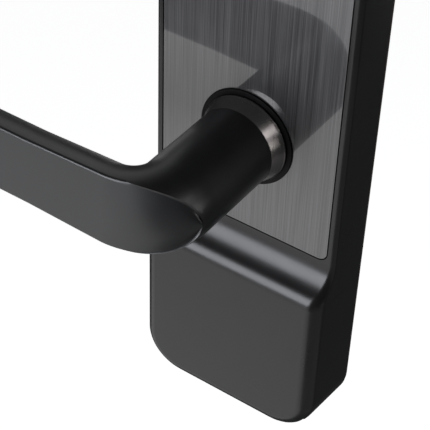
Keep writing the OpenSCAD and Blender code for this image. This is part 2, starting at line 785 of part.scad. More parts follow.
// Slider: shoe concentric with the hub, stem and nut for the lead screw
module clutch_slider() {
    color("#e0ddd2") difference() {
        union() {
            slab(pin_y - shoe_half_y, 2 * shoe_half_y)
                ring_sector(shoe_r, shoe_r + shoe_t, -14, lever_turn + 12, 20);
            box([-stem_w / 2, pin_y - shoe_half_y, shoe_r + shoe_t / 2],
                [stem_w / 2, pin_y + shoe_half_y, nut_bottom_z + nut_h]);
            box([-nut_w / 2, motor_y - slider_front, nut_bottom_z],
                [nut_w / 2, pin_y + shoe_half_y, nut_bottom_z + nut_h]);
        }
        translate([0, motor_y, screw_bottom_z - slider_travel - seat_fit])
            cylinder(h = nut_h + slider_travel + 3, r = screw_r + run_fit);
    }
}

// Channel on the back plate that keeps the slider straight
module slider_guide() {
    out_x = nut_w / 2 + guide_fit + guide_wall;
    color("#cfcabb") difference() {
        box([-out_x, motor_y - slider_front, nut_bottom_z + 0.5],
            [out_x, -back_t - seat_fit, nut_bottom_z + nut_h + slider_travel + 0.5]);
        box([-nut_w / 2 - guide_fit, -upper_t, 0],
            [nut_w / 2 + guide_fit, pin_y + shoe_half_y + guide_fit, body_top]);
    }
}

// Lead screw with its drive flat, on the gearbox's output
module lead_screw() {
    color("#c9b06a") translate([0, motor_y, 0]) difference() {
        translate([0, 0, screw_bottom_z]) cylinder(h = gearbox_bottom_z - screw_bottom_z + 2, r = screw_r);
        box([-screw_r, screw_r * 0.6, gearbox_bottom_z - 2.5], [screw_r, screw_r + cut, gearbox_bottom_z + 3]);
    }
}

module motor_gearbox() {
    color("#c3a95f") difference() {
        box([-motor_w / 2, motor_y - motor_t / 2, gearbox_bottom_z],
            [motor_w / 2, motor_y + motor_t / 2, gearbox_bottom_z + gearbox_h]);
        translate([0, motor_y, gearbox_bottom_z - cut]) cylinder(h = 3.2 + cut, r = screw_r + run_fit);
    }
}

module motor_can() {
    z0 = gearbox_bottom_z + gearbox_h;
    color("#b4b6b8") {
        intersection() {
            translate([0, motor_y, z0]) cylinder(h = motor_h, r = motor_w / 2);
            box([-motor_w, motor_y - motor_t / 2, z0], [motor_w, motor_y + motor_t / 2, z0 + motor_h]);
        }
        translate([0, motor_y, z0 + motor_h - eps]) cylinder(h = 1.2, r = 2.2);
    }
}

// Saddle that clamps the gearbox to the back plate
module motor_bracket() {
    z0 = gearbox_bottom_z + 1.5;
    z1 = z0 + 6;
    out_x = motor_w / 2 + bracket_t;
    y_front = motor_y - motor_t / 2 - seat_fit;
    color("#d7d3c6") difference() {
        union() {
            box([-out_x, y_front - bracket_t + 0.3, z0], [out_x, -back_t - seat_fit, z1]);
            box([-out_x - bracket_ear, -back_t - seat_fit - bracket_t, z0], [out_x + bracket_ear, -back_t - seat_fit, z1]);
        }
        box([-motor_w / 2 - seat_fit, y_front, z0 - cut], [motor_w / 2 + seat_fit, cut, z1 + cut]);
        for (x = [-1, 1]) translate([x * (out_x + bracket_ear / 2), 0, (z0 + z1) / 2])
            rod(-upper_t, cut, small_screw_r + seat_fit);
    }
}

// Two screws that hold the saddle, driven towards the door into the back plate's nuts
module bracket_screws() {
    x = motor_w / 2 + bracket_t + bracket_ear / 2;
    z = gearbox_bottom_z + 4.5;
    y = -back_t - seat_fit - bracket_t;
    color("#8f9193") for (s = [-1, 1]) translate([s * x, 0, z]) {
        rod(y - small_head_t, y, small_head_r);
        rod(y - eps, -back_t - 0.05, small_screw_r);
    }
}

// Tray for the cells, open at the front
module battery_tray() {
    z0 = tray_bottom_z + seat_fit;
    color("#1d1e20") difference() {
        box([-tray_half_w, bay_y + slide_fit, z0], [tray_half_w, tray_back_y + tray_wall, tray_top_z]);
        box([-tray_half_w + tray_wall, bay_y + slide_fit - cut, z0 + tray_wall],
            [tray_half_w - tray_wall, tray_back_y, tray_top_z - tray_wall]);
    }
}

// End cap that closes the body's underside, flush with its outside
module tray_cap() {
    color("#2b2b2c") difference() {
        intersection() {
            body_shape();
            box([-cap_half_w, bay_y, -body_bottom - cut], [cap_half_w, cap_back_y, cap_floor_z]);
        }
        translate([0, latch_y, -body_bottom - cut]) cylinder(h = 20, r = cap_screw_r + seat_fit);
        translate([0, latch_y, -body_bottom - cut]) cylinder(h = 2.6 + cut, r = cap_head_r + seat_fit);
    }
}

function cell_z(i) = tray_bottom_z + tray_wall + 0.2 + seat_fit + cell_pitch * (i + 0.5);

// Cells lying side by side, each turned end for end to the last
module battery_cells() {
    color("#3c4a63") for (i = [0:cell_count - 1]) let (s = i % 2 == 0 ? 1 : -1)
        translate([0, cell_y, cell_z(i)]) rotate([0, s * 90, 0]) {
            translate([0, 0, -cell_len / 2]) cylinder(h = cell_len - 1, r = cell_r);
            translate([0, 0, cell_len / 2 - 1 - eps]) cylinder(h = 1, r = 1.9);
        }
}

module contact_springs() {
    n = 36;
    room = contact_room - 0.3;
    color("#d4c48a") for (i = [0:cell_count - 1]) let (s = i % 2 == 0 ? -1 : 1) {
        points = [for (k = [0:n]) let (a = 30 * k, r = 3 - 1.4 * k / n)
            [s * (cell_len / 2 + room - 0.25 - (room - 0.5) * k / n), cell_y + r * cos(a), cell_z(i) + r * sin(a)]];
        wire(points, 0.22, 6);
    }
}

module contact_plates() {
    color("#d4c48a") for (i = [0:cell_count - 1], s = [-1, 1])
        translate([s * (cell_len / 2 + contact_room - 0.15), cell_y, cell_z(i)])
            cube([0.24, 8, cell_pitch - 2], center = true);
}

// Two blades on the tray's upper end that meet the fixed terminal
module tray_blades() {
    color("#d4c48a") for (x = [-5, 5])
        box([x - 1.5, cell_y - 3, tray_top_z + 0.02], [x + 1.5, cell_y + 3, tray_top_z + 0.32]);
}

// Captive screw that locks the cap to the nut on the back plate
module cap_screw() {
    color("#8f9193") translate([0, latch_y, 0]) difference() {
        union() {
            translate([0, 0, -body_bottom + 0.7]) cylinder(h = 1.8, r = cap_head_r);
            translate([0, 0, -body_bottom + 2]) cylinder(h = latch_z + latch_h + body_bottom - 2.5, r = cap_screw_r);
        }
        translate([0, 0, -body_bottom - 0.3]) cylinder(h = 2, r = 1.2, $fn = 6);
    }
}

module latch_nut() {
    color("#a1a3a5") difference() {
        box([-5, latch_y - latch_half_t, latch_z], [5, -back_t - 0.02, latch_z + latch_h]);
        translate([0, latch_y, latch_z - cut]) cylinder(h = latch_h + 2 * cut, r = cap_screw_r + run_fit);
    }
}

// Fixed terminal block with two spring fingers for the tray's blades
module bay_terminal() {
    color("#d7d3c6") {
        box([-9, cell_y - 1, terminal_z + 0.4], [9, -back_t - 0.05, terminal_z + 3.6]);
        for (x = [-5, 5]) box([x - 1.2, cell_y - 2, terminal_z], [x + 1.2, cell_y + 2, terminal_z + 0.5]);
    }
}

// Lead from the terminal to the board
module battery_lead() {
    color("#992222") wire(lead_route, lead_r, 8);
}

for (i = [0:11]) key(i);
housing();
gasket();
back_plate();
fixing_posts();
plate_screws();
cable_grommet();
faceplate();
keypad_bezel();
status_lens();
keypad_membrane();
main_board();
board_components();
board_screws();
lever();
lever_collar();
lever_bush();
thrust_washer();
lever_hub();
hub_washer();
hub_screw();
return_spring();
stop_plate();
stop_screws();
spindle_driver();
spindle();
clutch_pin();
pin_spring();
clutch_slider();
slider_guide();
lead_screw();
motor_gearbox();
motor_can();
motor_bracket();
bracket_screws();
battery_tray();
tray_cap();
battery_cells();
contact_springs();
contact_plates();
tray_blades();
cap_screw();
latch_nut();
bay_terminal();
battery_lead();
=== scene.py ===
"""Looks of the keypad smart lock: finishes, detailed pieces, studio and camera."""

import logging
import math
from dataclasses import dataclass, field
from enum import Enum
from typing import Callable, Iterable, Sequence

import bmesh
import bpy
from mathutils import Matrix, Vector


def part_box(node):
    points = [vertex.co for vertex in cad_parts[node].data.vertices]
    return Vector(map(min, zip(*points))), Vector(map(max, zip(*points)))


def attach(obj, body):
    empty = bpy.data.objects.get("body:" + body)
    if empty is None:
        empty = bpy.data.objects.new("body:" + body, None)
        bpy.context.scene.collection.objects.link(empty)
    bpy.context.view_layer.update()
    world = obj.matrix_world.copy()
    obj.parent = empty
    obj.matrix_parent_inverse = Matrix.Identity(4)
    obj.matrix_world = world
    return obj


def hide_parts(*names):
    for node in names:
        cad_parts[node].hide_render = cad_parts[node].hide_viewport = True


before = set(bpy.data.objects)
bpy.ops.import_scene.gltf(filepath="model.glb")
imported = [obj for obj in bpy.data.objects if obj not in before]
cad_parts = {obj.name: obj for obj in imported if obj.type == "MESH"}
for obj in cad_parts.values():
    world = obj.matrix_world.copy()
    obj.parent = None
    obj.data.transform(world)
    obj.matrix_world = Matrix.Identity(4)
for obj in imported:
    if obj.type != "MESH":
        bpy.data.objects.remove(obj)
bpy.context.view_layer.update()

log = logging.getLogger("lock")
MM = 0.001
Point = tuple[float, float, float]
Colour = tuple[float, float, float]
Flat = tuple[float, float]


# ---------------------------------------------------------------- modelling


class Boolean(Enum):
    """The ways that one solid can act on another."""

    CUT = "DIFFERENCE"
    JOIN = "UNION"
    KEEP = "INTERSECT"


class Axis(Enum):
    """Axis that a cylinder or a revolved piece is built round."""

    X = Vector((1, 0, 0))
    Y = Vector((0, 1, 0))
    Z = Vector((0, 0, 1))


def deselect() -> None:
    """Leaves nothing selected and no piece in edit mode."""
    if bpy.context.object and bpy.context.object.mode != "OBJECT":
        bpy.ops.object.mode_set(mode="OBJECT")
    bpy.ops.object.select_all(action="DESELECT")


def activate(piece: bpy.types.Object) -> None:
    """Selects one piece alone and makes it the active one.

    Args:
        piece: the piece that the next operators act on.
    """
    deselect()
    piece.select_set(True)
    bpy.context.view_layer.objects.active = piece


def settle(piece: bpy.types.Object, name: str) -> bpy.types.Object:
    """Moves a new piece's place into its mesh and names it.

    Args:
        piece: the object that a primitive operator just made.
        name: the name it gets, and its mesh too.

    Returns:
        The same object, at the origin, unturned and unscaled.
    """
    activate(piece)
    bpy.ops.object.transform_apply(location=True, rotation=True, scale=True)
    piece.name = piece.data.name = name
    return piece


class Edit:
    """Edit mode on one piece, with elements selected in code by their place."""

    def __init__(self, piece: bpy.types.Object) -> None:
        """Keeps the piece that is edited."""
        self.piece = piece

    def __enter__(self) -> "Edit":
        """Enters edit mode with nothing selected.

        Returns:
            This edit.
        """
        activate(self.piece)
        bpy.ops.object.mode_set(mode="EDIT")
        bpy.ops.mesh.select_mode(type="VERT")
        self.none()
        return self

    def __exit__(self, *_: object) -> None:
        """Returns to object mode."""
        bpy.ops.object.mode_set(mode="OBJECT")

    @property
    def mesh(self) -> bmesh.types.BMesh:
        """The mesh as it is in edit mode."""
        return bmesh.from_edit_mesh(self.piece.data)

    def none(self) -> None:
        """Clears the selection."""
        bpy.ops.mesh.select_all(action="DESELECT")

    def all(self) -> None:
        """Selects everything."""
        bpy.ops.mesh.select_all(action="SELECT")

    def pick(self, mode: str, picked: Iterable) -> int:
        """Selects elements of the mesh and nothing else.

        Args:
            mode: the select mode, VERT, EDGE or FACE.
            picked: the elements.

        Returns:
            How many are selected.
        """
        picked = list(picked)
        bpy.ops.mesh.select_mode(type=mode)
        self.none()
        for element in picked:
            element.select_set(True)
        bmesh.update_edit_mesh(self.piece.data)
        return len(picked)

    def verts(self, test: Callable[[Vector], bool]) -> int:
        """Selects the vertices whose place passes the test, and says how many."""
        return self.pick("VERT", [v for v in self.mesh.verts if test(v.co)])

    def edges(self, test: Callable[[Vector, Vector], bool]) -> int:
        """Selects the edges whose two ends pass the test, and says how many."""
        return self.pick("EDGE", [e for e in self.mesh.edges if test(*(v.co for v in e.verts))])

    def faces(self, test: Callable[[Vector, Vector], bool]) -> int:
        """Selects the faces whose middle and normal pass the test, and says how many."""
        self.mesh.normal_update()
        return self.pick("FACE", [f for f in self.mesh.faces if test(f.calc_center_median(), f.normal)])

    def rim(self, test: Callable[[Vector, Vector], bool]) -> None:
        """Selects the border edges of the faces that pass the test."""
        self.faces(test)
        bpy.ops.mesh.region_to_loop()

    @staticmethod
    def bevel(width: float, segments: int, clamp: bool = True) -> None:
        """Rounds the selected edges."""
        bpy.ops.mesh.bevel(
            offset=width, segments=segments, profile=0.5, affect="EDGES", clamp_overlap=clamp)


def near(a: float, b: float, room: float = 1e-5) -> bool:
    """True if two lengths are the same within a small room."""
    return abs(a - b) < room


def box_solid(name: str, low: Sequence[float], high: Sequence[float]) -> bpy.types.Object:
    """A box between two corners.

    Args:
        name: name of the piece.
        low: its lowest corner.
        high: its highest corner.

    Returns:
        The box.
    """
    low, high = Vector(low), Vector(high)
    deselect()
    bpy.ops.mesh.primitive_cube_add(size=1, location=(low + high) / 2, scale=high - low)
    return settle(bpy.context.object, name)


def rod_solid(
    name: str, axis: Axis, centre: Sequence[float], start: float, end: float, radius: float,
    end_radius: float | None = None, sides: int = 64,
) -> bpy.types.Object:
    """A cylinder or cone along one axis.

    Args:
        name: name of the piece.
        axis: the axis it runs along.
        centre: a point on its axis; the coordinate along the axis isn't used.
        start: where it starts along the axis.
        end: where it ends along the axis.
        radius: its radius at the start.
        end_radius: its radius at the end, the same as at the start if left out.
        sides: how many sides it has.

    Returns:
        The solid.
    """
    along = axis.value
    middle = Vector(centre) - along * Vector(centre).dot(along) + along * (start + end) / 2
    turn = along.to_track_quat("Z", "Y").to_euler()
    deselect()
    bpy.ops.mesh.primitive_cone_add(
        vertices=sides, radius1=radius, radius2=radius if end_radius is None else end_radius,
        depth=end - start, location=middle, rotation=turn)
    return settle(bpy.context.object, name)


def rounded_plate(
    name: str, low: Sequence[float], high: Sequence[float], corner: float, edge: float = 0.0,
    back_edge: float = 0.0, corner_steps: int = 10, edge_steps: int = 3,
) -> bpy.types.Object:
    """A plate that faces along -Y, with round corners and soft front and back edges.

    Args:
        name: name of the piece.
        low: its lowest corner.
        high: its highest corner.
        corner: radius of its four corners.
        edge: width of the round along its front edge.
        back_edge: width of the round along its back edge.
        corner_steps: segments of each corner.
        edge_steps: segments of the edge rounds.

    Returns:
        The plate.
    """
    piece = box_solid(name, low, high)
    with Edit(piece) as edit:
        edit.edges(lambda a, b: near(a.x, b.x) and near(a.z, b.z))
        edit.bevel(corner, corner_steps)
        for width, sign in ((edge, -1), (back_edge, 1)):
            if width:
                edit.rim(lambda middle, normal: normal.y * sign > 0.9)
                edit.bevel(width, edge_steps)
    return piece


def boolean(piece: bpy.types.Object, other: bpy.types.Object, way: Boolean) -> None:
    """Applies a second solid to a piece and removes the second solid.

    Args:
        piece: the piece that changes.
        other: the solid that acts on it.
        way: how it acts.
    """
    activate(piece)
    modifier = piece.modifiers.new("cut", "BOOLEAN")
    modifier.operation = way.value
    modifier.solver = "EXACT"
    modifier.object = other
    bpy.ops.object.modifier_apply(modifier=modifier.name)
    bpy.data.objects.remove(other)


def smooth(piece: bpy.types.Object, degrees: float = 35) -> None:
    """Shades a piece smooth, with its flat faces kept flat.

    Args:
        piece: the piece.
        degrees: edges that bend more than this stay sharp.
    """
    activate(piece)
    bpy.ops.object.shade_smooth_by_angle(angle=math.radians(degrees))
    modifier = piece.modifiers.new("flat_faces", "WEIGHTED_NORMAL")
    modifier.keep_sharp = True
    bpy.ops.object.modifier_apply(modifier=modifier.name)


def chain(name: str, points: Sequence[Sequence[float]]) -> bpy.types.Object:
    """A chain of edges through points, drawn by extruding one vertex.

    Args:
        name: name of the piece.
        points: the points, in order.

    Returns:
        The chain.
    """
    deselect()
    bpy.ops.mesh.primitive_plane_add(size=0.001, location=points[0])
    piece = settle(bpy.context.object, name)
    with Edit(piece) as edit:
        edit.all()
        bpy.ops.mesh.merge(type="CENTER")
        last = Vector(points[0])
        for point in points[1:]:
            bpy.ops.mesh.extrude_vertices_move(TRANSFORM_OT_translate={"value": Vector(point) - last})
            last = Vector(point)
    return piece


def lathe(name: str, profile: Sequence[tuple[float, float]], sides: int = 96) -> bpy.types.Object:
    """A closed ring turned round the lever's axis.

    Args:
        name: name of the piece.
        profile: the cut through the ring, as (radius, y) points in order.
        sides: steps of the turn.

    Returns:
        The ring.
    """
    piece = chain(name, [(r, y, 0) for r, y in profile])
    with Edit(piece) as edit:
        edit.all()
        bpy.ops.mesh.edge_face_add()
        bpy.ops.mesh.delete(type="ONLY_FACE")
        edit.all()
        bpy.ops.mesh.spin(steps=sides, angle=math.tau, center=(0, 0, 0), axis=(0, 1, 0))
        edit.all()
        bpy.ops.mesh.remove_doubles(threshold=1e-6)
        bpy.ops.mesh.normals_make_consistent(inside=False)
    return piece


def text_piece(name: str, sign: str, height: float, front: Point, thickness: float) -> bpy.types.Object:
    """A raised sign that faces along -Y, centred on a point.

    Args:
        name: name of the piece.
        sign: the character or characters.
        height: size of the characters.
        front: the middle of its front face.
        thickness: how thick it is.

    Returns:
        The sign as a mesh.
    """
    deselect()
    place = Vector(front) + Axis.Y.value * thickness / 2
    bpy.ops.object.text_add(location=place, rotation=(math.pi / 2, 0, 0))
    piece = bpy.context.object
    piece.data.body = sign
    piece.data.size = height
    piece.data.align_x, piece.data.align_y = "CENTER", "CENTER"
    piece.data.extrude = thickness / 2
    piece.data.resolution_u = 6
    bpy.ops.object.convert(target="MESH")
    piece = settle(bpy.context.object, name)
    low = Vector(map(min, *(v.co for v in piece.data.vertices)))
    high = Vector(map(max, *(v.co for v in piece.data.vertices)))
    middle = (low + high) / 2
    piece.data.transform(Matrix.Translation((front[0] - middle.x, 0, front[2] - middle.z)))
    with Edit(piece) as edit:
        edit.all()
        bpy.ops.mesh.remove_doubles(threshold=1e-6)
    return piece


# ---------------------------------------------------------------- finishes


class Graph:
    """A material's nodes, added and joined in short calls."""

    def __init__(self, name: str) -> None:
        """Makes a material with one surface shader.

        Args:
            name: the material's name.
        """
        self.material = bpy.data.materials.new(name)
        self.material.use_nodes = True
        self.nodes = self.material.node_tree.nodes
        self.shader = self.nodes["Principled BSDF"]
        self.place = self.add("ShaderNodeTexCoord").outputs["Object"]

    def add(self, kind: str, settings: dict | None = None, **inputs: object) -> bpy.types.Node:
        """Adds a node.

        Args:
            kind: Blender's name for the node.
            settings: the node's own properties.
            inputs: values, or other nodes' outputs, by input name with _ for a space.

        Returns:
            The node.
        """
        node = self.nodes.new(kind)
        for key, value in (settings or {}).items():
            setattr(node, key, value)
        for key, value in inputs.items():
            self.put(node.inputs[key.replace("_", " ")], value)
        return node

    def put(self, socket: bpy.types.NodeSocket, value: object) -> None:
        """Sets a socket, or joins another node's output to it.

        Args:
            socket: the socket.
            value: its value, or the output that feeds it.
        """
        if isinstance(value, bpy.types.NodeSocket):
            self.material.node_tree.links.new(value, socket)
        else:
            socket.default_value = value

    def surface(self, **inputs: object) -> None:
        """Sets the shader's sockets, by name with _ for a space."""
        for key, value in inputs.items():
            self.put(self.shader.inputs[key.replace("_", " ")], value)

    def noise(
        self, scale: float, detail: float = 2, stretch: Point = (1, 1, 1), rough: float = 0.5,
    ) -> bpy.types.NodeSocket:
        """Noise over the piece, squeezed or stretched along the axes.

        Args:
            scale: how fine it is, per metre.
            detail: layers of finer noise.
            stretch: scale along each axis; under 1 draws the noise out into lines.
            rough: strength of the finer layers.

        Returns:
            The pattern, about 0.5 with most of it between 0.3 and 0.7.
        """
        mapping = self.add("ShaderNodeMapping", Vector=self.place, Scale=stretch)
        node = self.add(
            "ShaderNodeTexNoise", Vector=mapping.outputs["Vector"], Scale=scale, Detail=detail,
            Roughness=rough)
        return node.outputs["Fac"]

    def span(
        self, value: bpy.types.NodeSocket, low: float, high: float, start: float = 0.3, end: float = 0.7,
    ) -> bpy.types.NodeSocket:
        """Maps a part of a pattern's range to a new range.

        Args:
            value: the pattern.
            low: what start becomes.
            high: what end becomes.
            start: lower end of the pattern's range.
            end: upper end of the pattern's range.

        Returns:
            The mapped pattern.
        """
        node = self.add("ShaderNodeMapRange", Value=value)
        for key, number in (("From Min", start), ("From Max", end), ("To Min", low), ("To Max", high)):
            node.inputs[key].default_value = number
        return node.outputs["Result"]

    def blend(self, amount: bpy.types.NodeSocket, a: Colour, b: Colour) -> bpy.types.NodeSocket:
        """Mixes two colours by a pattern.

        Args:
            amount: the pattern, 0 for the first colour and 1 for the second.
            a: the first colour.
            b: the second colour.

        Returns:
            The mixed colour.
        """
        node = self.add("ShaderNodeMix", {"data_type": "RGBA"})
        self.put(node.inputs["Factor"], amount)
        self.put(node.inputs[6], (*a, 1))
        self.put(node.inputs[7], (*b, 1))
        return node.outputs[2]

    def vary(
        self, pattern: bpy.types.NodeSocket, colour: Colour, dark: float, light: float,
    ) -> bpy.types.NodeSocket:
        """One colour, made darker and lighter by a pattern."""
        return self.blend(self.span(pattern, 0, 1), shade(colour, dark), shade(colour, light))

    def bump(self, height: bpy.types.NodeSocket, strength: float, distance: float) -> None:
        """Turns a pattern into small relief."""
        node = self.add("ShaderNodeBump", Height=height, Strength=strength, Distance=distance)
        self.put(self.shader.inputs["Normal"], node.outputs["Normal"])


def shade(colour: Colour, factor: float) -> Colour:
    """A colour made darker or lighter."""
    return tuple(min(c * factor, 1.0) for c in colour)


FINE_RELIEF = 0.00001
LINE_RELIEF = 0.00002


@dataclass(frozen=True)
class Finish:
    """A finish: its name and its main colour."""

    name: str
    colour: Colour

    def make(self) -> bpy.types.Material:
        """Builds the material once.

        Returns:
            The material, the same one each time.
        """
        found = bpy.data.materials.get(self.name)
        if found:
            return found
        graph = Graph(self.name)
        self.paint(graph)
        return graph.material

    def paint(self, graph: Graph) -> None:
        """Sets the nodes of the finish."""
        raise NotImplementedError


@dataclass(frozen=True)
class Plastic(Finish):
    """Moulded plastic or rubber: colour and gloss drift a little, under a fine grain.

    The tint is the darkest and lightest share of the colour, spread is how far the roughness goes down
    and up, and patches is the scale and detail of the drift.
    """

    rough: float = 0.45
    grain: float = 0.2
    grain_scale: float = 2500
    shine: float = 0.5
    bending: float = 1.5
    clear: float = 0.0
    tint: Flat = (0.92, 1.08)
    spread: Flat = (-0.04, 0.04)
    patches: Flat = (80, 2)

    def paint(self, graph: Graph) -> None:
        """Adds the drift and the grain.

        Args:
            graph: the nodes of the finish.
        """
        drift = graph.noise(*self.patches)
        least, most = (self.rough + change for change in self.spread)
        graph.surface(
            Base_Color=graph.vary(drift, self.colour, *self.tint),
            Roughness=graph.span(drift, least, most),
            Specular_IOR_Level=self.shine,
            Transmission_Weight=self.clear,
            IOR=self.bending,
        )
        graph.bump(graph.noise(self.grain_scale, 2), self.grain, FINE_RELIEF)


@dataclass(frozen=True)
class SatinPaint(Plastic):
    """Baked satin paint on a casting: soft gloss, fine orange-peel and a faint mottle."""

    grain: float = 0.35
    grain_scale: float = 1500
    tint: Flat = (0.85, 1.15)
    spread: Flat = (-0.03, 0.04)
    patches: Flat = (60, 3)


@dataclass(frozen=True)
class ClearPlastic(Plastic):
    """Clear moulded plastic with a few faint flow marks."""

    rough: float = 0.08
    grain: float = 0.0
    bending: float = 1.49
    clear: float = 0.75
    tint: Flat = (0.95, 1.0)
    spread: Flat = (-0.03, 0.04)
    patches: Flat = (220, 2)


@dataclass(frozen=True)
class BrushedCoat(Finish):
    """Metal brushed up and down under a clear gloss coat."""

    lines: float = 4200

    def paint(self, graph: Graph) -> None:
        """Draws the brush lines in colour, gloss and relief, and lays the coat over them.

        Args:
            graph: the nodes of the finish.
        """
        fine = graph.noise(self.lines, 3, stretch=(1, 1, 0.006), rough=0.65)
        wide = graph.noise(self.lines / 9, 2, stretch=(1, 1, 0.01))
        mixed = graph.add("ShaderNodeMix", {"data_type": "FLOAT"}, Factor=0.2, A=fine, B=wide).outputs[0]
        lightness = graph.span(mixed, 0, 1, 0.36, 0.64)
        graph.surface(
            Base_Color=graph.blend(lightness, shade(self.colour, 0.65), shade(self.colour, 1.4)),
            Metallic=0.9,
            Roughness=graph.span(fine, 0.38, 0.5),
            Coat_Weight=1.0,
            Coat_Roughness=0.04,
            Coat_IOR=1.75,
        )
        graph.bump(fine, 0.12, LINE_RELIEF)


@dataclass(frozen=True)
class TurnedMetal(Finish):
    """Metal with the fine rings of a lathe or a polisher round the lever's axis."""

    rough: float = 0.2
    rings: float = 900

    def paint(self, graph: Graph) -> None:
        """Draws rings by the distance from the lever's axis and by depth.

        Args:
            graph: the nodes of the finish.
        """
        rings = graph.noise(self.rings, 2, stretch=(0.02, 1, 0.02))
        smear = graph.noise(90, 3)
        graph.surface(
            Base_Color=graph.vary(rings, self.colour, 0.9, 1.08),
            Metallic=1.0,
            Roughness=graph.span(smear, self.rough - 0.03, self.rough + 0.05),
        )
        graph.bump(rings, 0.05, FINE_RELIEF)


@dataclass(frozen=True)
class PlainMetal(Finish):
    """Plated or bare metal with fine scratches and slightly uneven gloss."""

    rough: float = 0.3
    metallic: float = 1.0

    def paint(self, graph: Graph) -> None:
        """Adds fine streaks in colour, gloss and relief.

        Args:
            graph: the nodes of the finish.
        """
        streaks = graph.noise(700, 3, stretch=(1, 1, 0.15), rough=0.6)
        stain = graph.noise(45, 3)
        graph.surface(
            Base_Color=graph.vary(stain, self.colour, 0.82, 1.08),
            Metallic=self.metallic,
            Roughness=graph.span(streaks, self.rough - 0.06, self.rough + 0.1),
        )
        graph.bump(streaks, 0.08, LINE_RELIEF)


@dataclass(frozen=True)
class CellWrap(Finish):
    """Printed film round a battery cell: dark body and a lighter band at one end."""

    band: Colour = (0.55, 0.33, 0.12)
    half_length: float = 22.2 * MM
    band_start: float = 0.42
    band_full: float = 0.46

    def paint(self, graph: Graph) -> None:
        """Colours the film along the cell by X.

        Args:
            graph: the nodes of the finish.
        """
        split = graph.add("ShaderNodeSeparateXYZ", Vector=graph.place)
        start, full = self.half_length * self.band_start, self.half_length * self.band_full
        place = graph.span(split.outputs["X"], 0, 1, start, full)
        drift = graph.noise(120, 2)
        graph.surface(
            Base_Color=graph.blend(place, self.colour, self.band),
            Roughness=graph.span(drift, 0.22, 0.3),
        )


class Finishes(Enum):
    """Every finish on the lock."""

    BODY = SatinPaint("body_satin_black", (0.0075, 0.0073, 0.0072), rough=0.3)
    LEVER = SatinPaint("lever_satin_black", (0.0075, 0.0078, 0.0084), rough=0.36, grain=0.25, bending=1.62)
    FACE = BrushedCoat("dark_brushed_coated", (0.082, 0.081, 0.082))
    COLLAR = TurnedMetal("black_chrome_turned", (0.31, 0.295, 0.288), rough=0.25)
    NYLON = Plastic("black_nylon", (0.011, 0.011, 0.012), rough=0.42)
    # Painted shade: the bush ring is near black with little gloss, standing in for the shadow gap at the
    # collar's foot.
    RING = Plastic("painted_shade_ring_black", (0.003, 0.003, 0.003), rough=0.55, shine=0.12)
    PALE_NYLON = Plastic("pale_nylon", (0.62, 0.60, 0.54), rough=0.4)
    BEZEL = Plastic("gloss_black_bezel", (0.006, 0.006, 0.007), rough=0.09, grain=0.03)
    KEY = Plastic("key_grain", (0.024, 0.024, 0.026), rough=0.38, grain=0.5, grain_scale=3800)
    DIGIT = Plastic("digit_white", (0.68, 0.70, 0.72), rough=0.4)
    SILICONE = Plastic("silicone_mat", (0.5, 0.5, 0.48), rough=0.6)
    RUBBER = Plastic("black_rubber", (0.018, 0.018, 0.018), rough=0.62, grain=0.6)
    GASKET = Plastic("gasket_rubber", (0.115, 0.092, 0.078), rough=0.65, grain=0.6)
    BOARD = Plastic("solder_mask", (0.012, 0.11, 0.045), rough=0.25, grain=0.1)
    CHIP = Plastic("component_black", (0.016, 0.016, 0.017), rough=0.5)
    ZINC = PlainMetal("zinc_plate", (0.56, 0.565, 0.57), rough=0.45, metallic=0.75)
    STEEL = PlainMetal("bright_steel", (0.62, 0.62, 0.63), rough=0.24)
    SPRING = PlainMetal("spring_steel", (0.38, 0.39, 0.41), rough=0.28)
    BRASS = PlainMetal("machined_brass", (0.72, 0.55, 0.26), rough=0.25)
    CONTACT = PlainMetal("contact_bronze", (0.76, 0.60, 0.38), rough=0.2)
    CELL = CellWrap("cell_film", (0.02, 0.035, 0.085))
    LEAD = Plastic("lead_red", (0.30, 0.015, 0.012), rough=0.4)
    LENS = ClearPlastic("clear_lens", (0.88, 0.93, 0.97))


def dress(piece: bpy.types.Object, finish: Finishes) -> None:
    """Gives a piece or a CAD node one finish all over."""
    piece.data.materials.clear()
    piece.data.materials.append(finish.value.make())


def dress_nodes(finish: Finishes, *names: str) -> None:
    """Gives CAD nodes a finish and reports them.

    Args:
        finish: the finish.
        names: the nodes' names.
    """
    for name in names:
        dress(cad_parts[name], finish)
        log.info("node %s keeps its shape, in %s", name, finish.value.name)


def install(piece: bpy.types.Object, body: str, slot: str, finish: Finishes, *nodes: str) -> None:
    """Finishes a new piece and puts it on its body.

    Args:
        piece: the new piece, complete and in place.
        body: the CAD body it moves with.
        slot: the record's material slot; not used.
        finish: what it is dressed in.
        nodes: CAD nodes that it stands for.
    """
    dress(piece, finish)
    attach(piece, body)
    if nodes:
        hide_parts(*nodes)
    log.info("piece %s: %d faces, on %s", piece.name, len(piece.data.polygons), body)


# ---------------------------------------------------------------- body


def node_middle(name: str) -> Vector:
    """Middle of a CAD node's box."""
    low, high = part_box(name)
    return (low + high) / 2


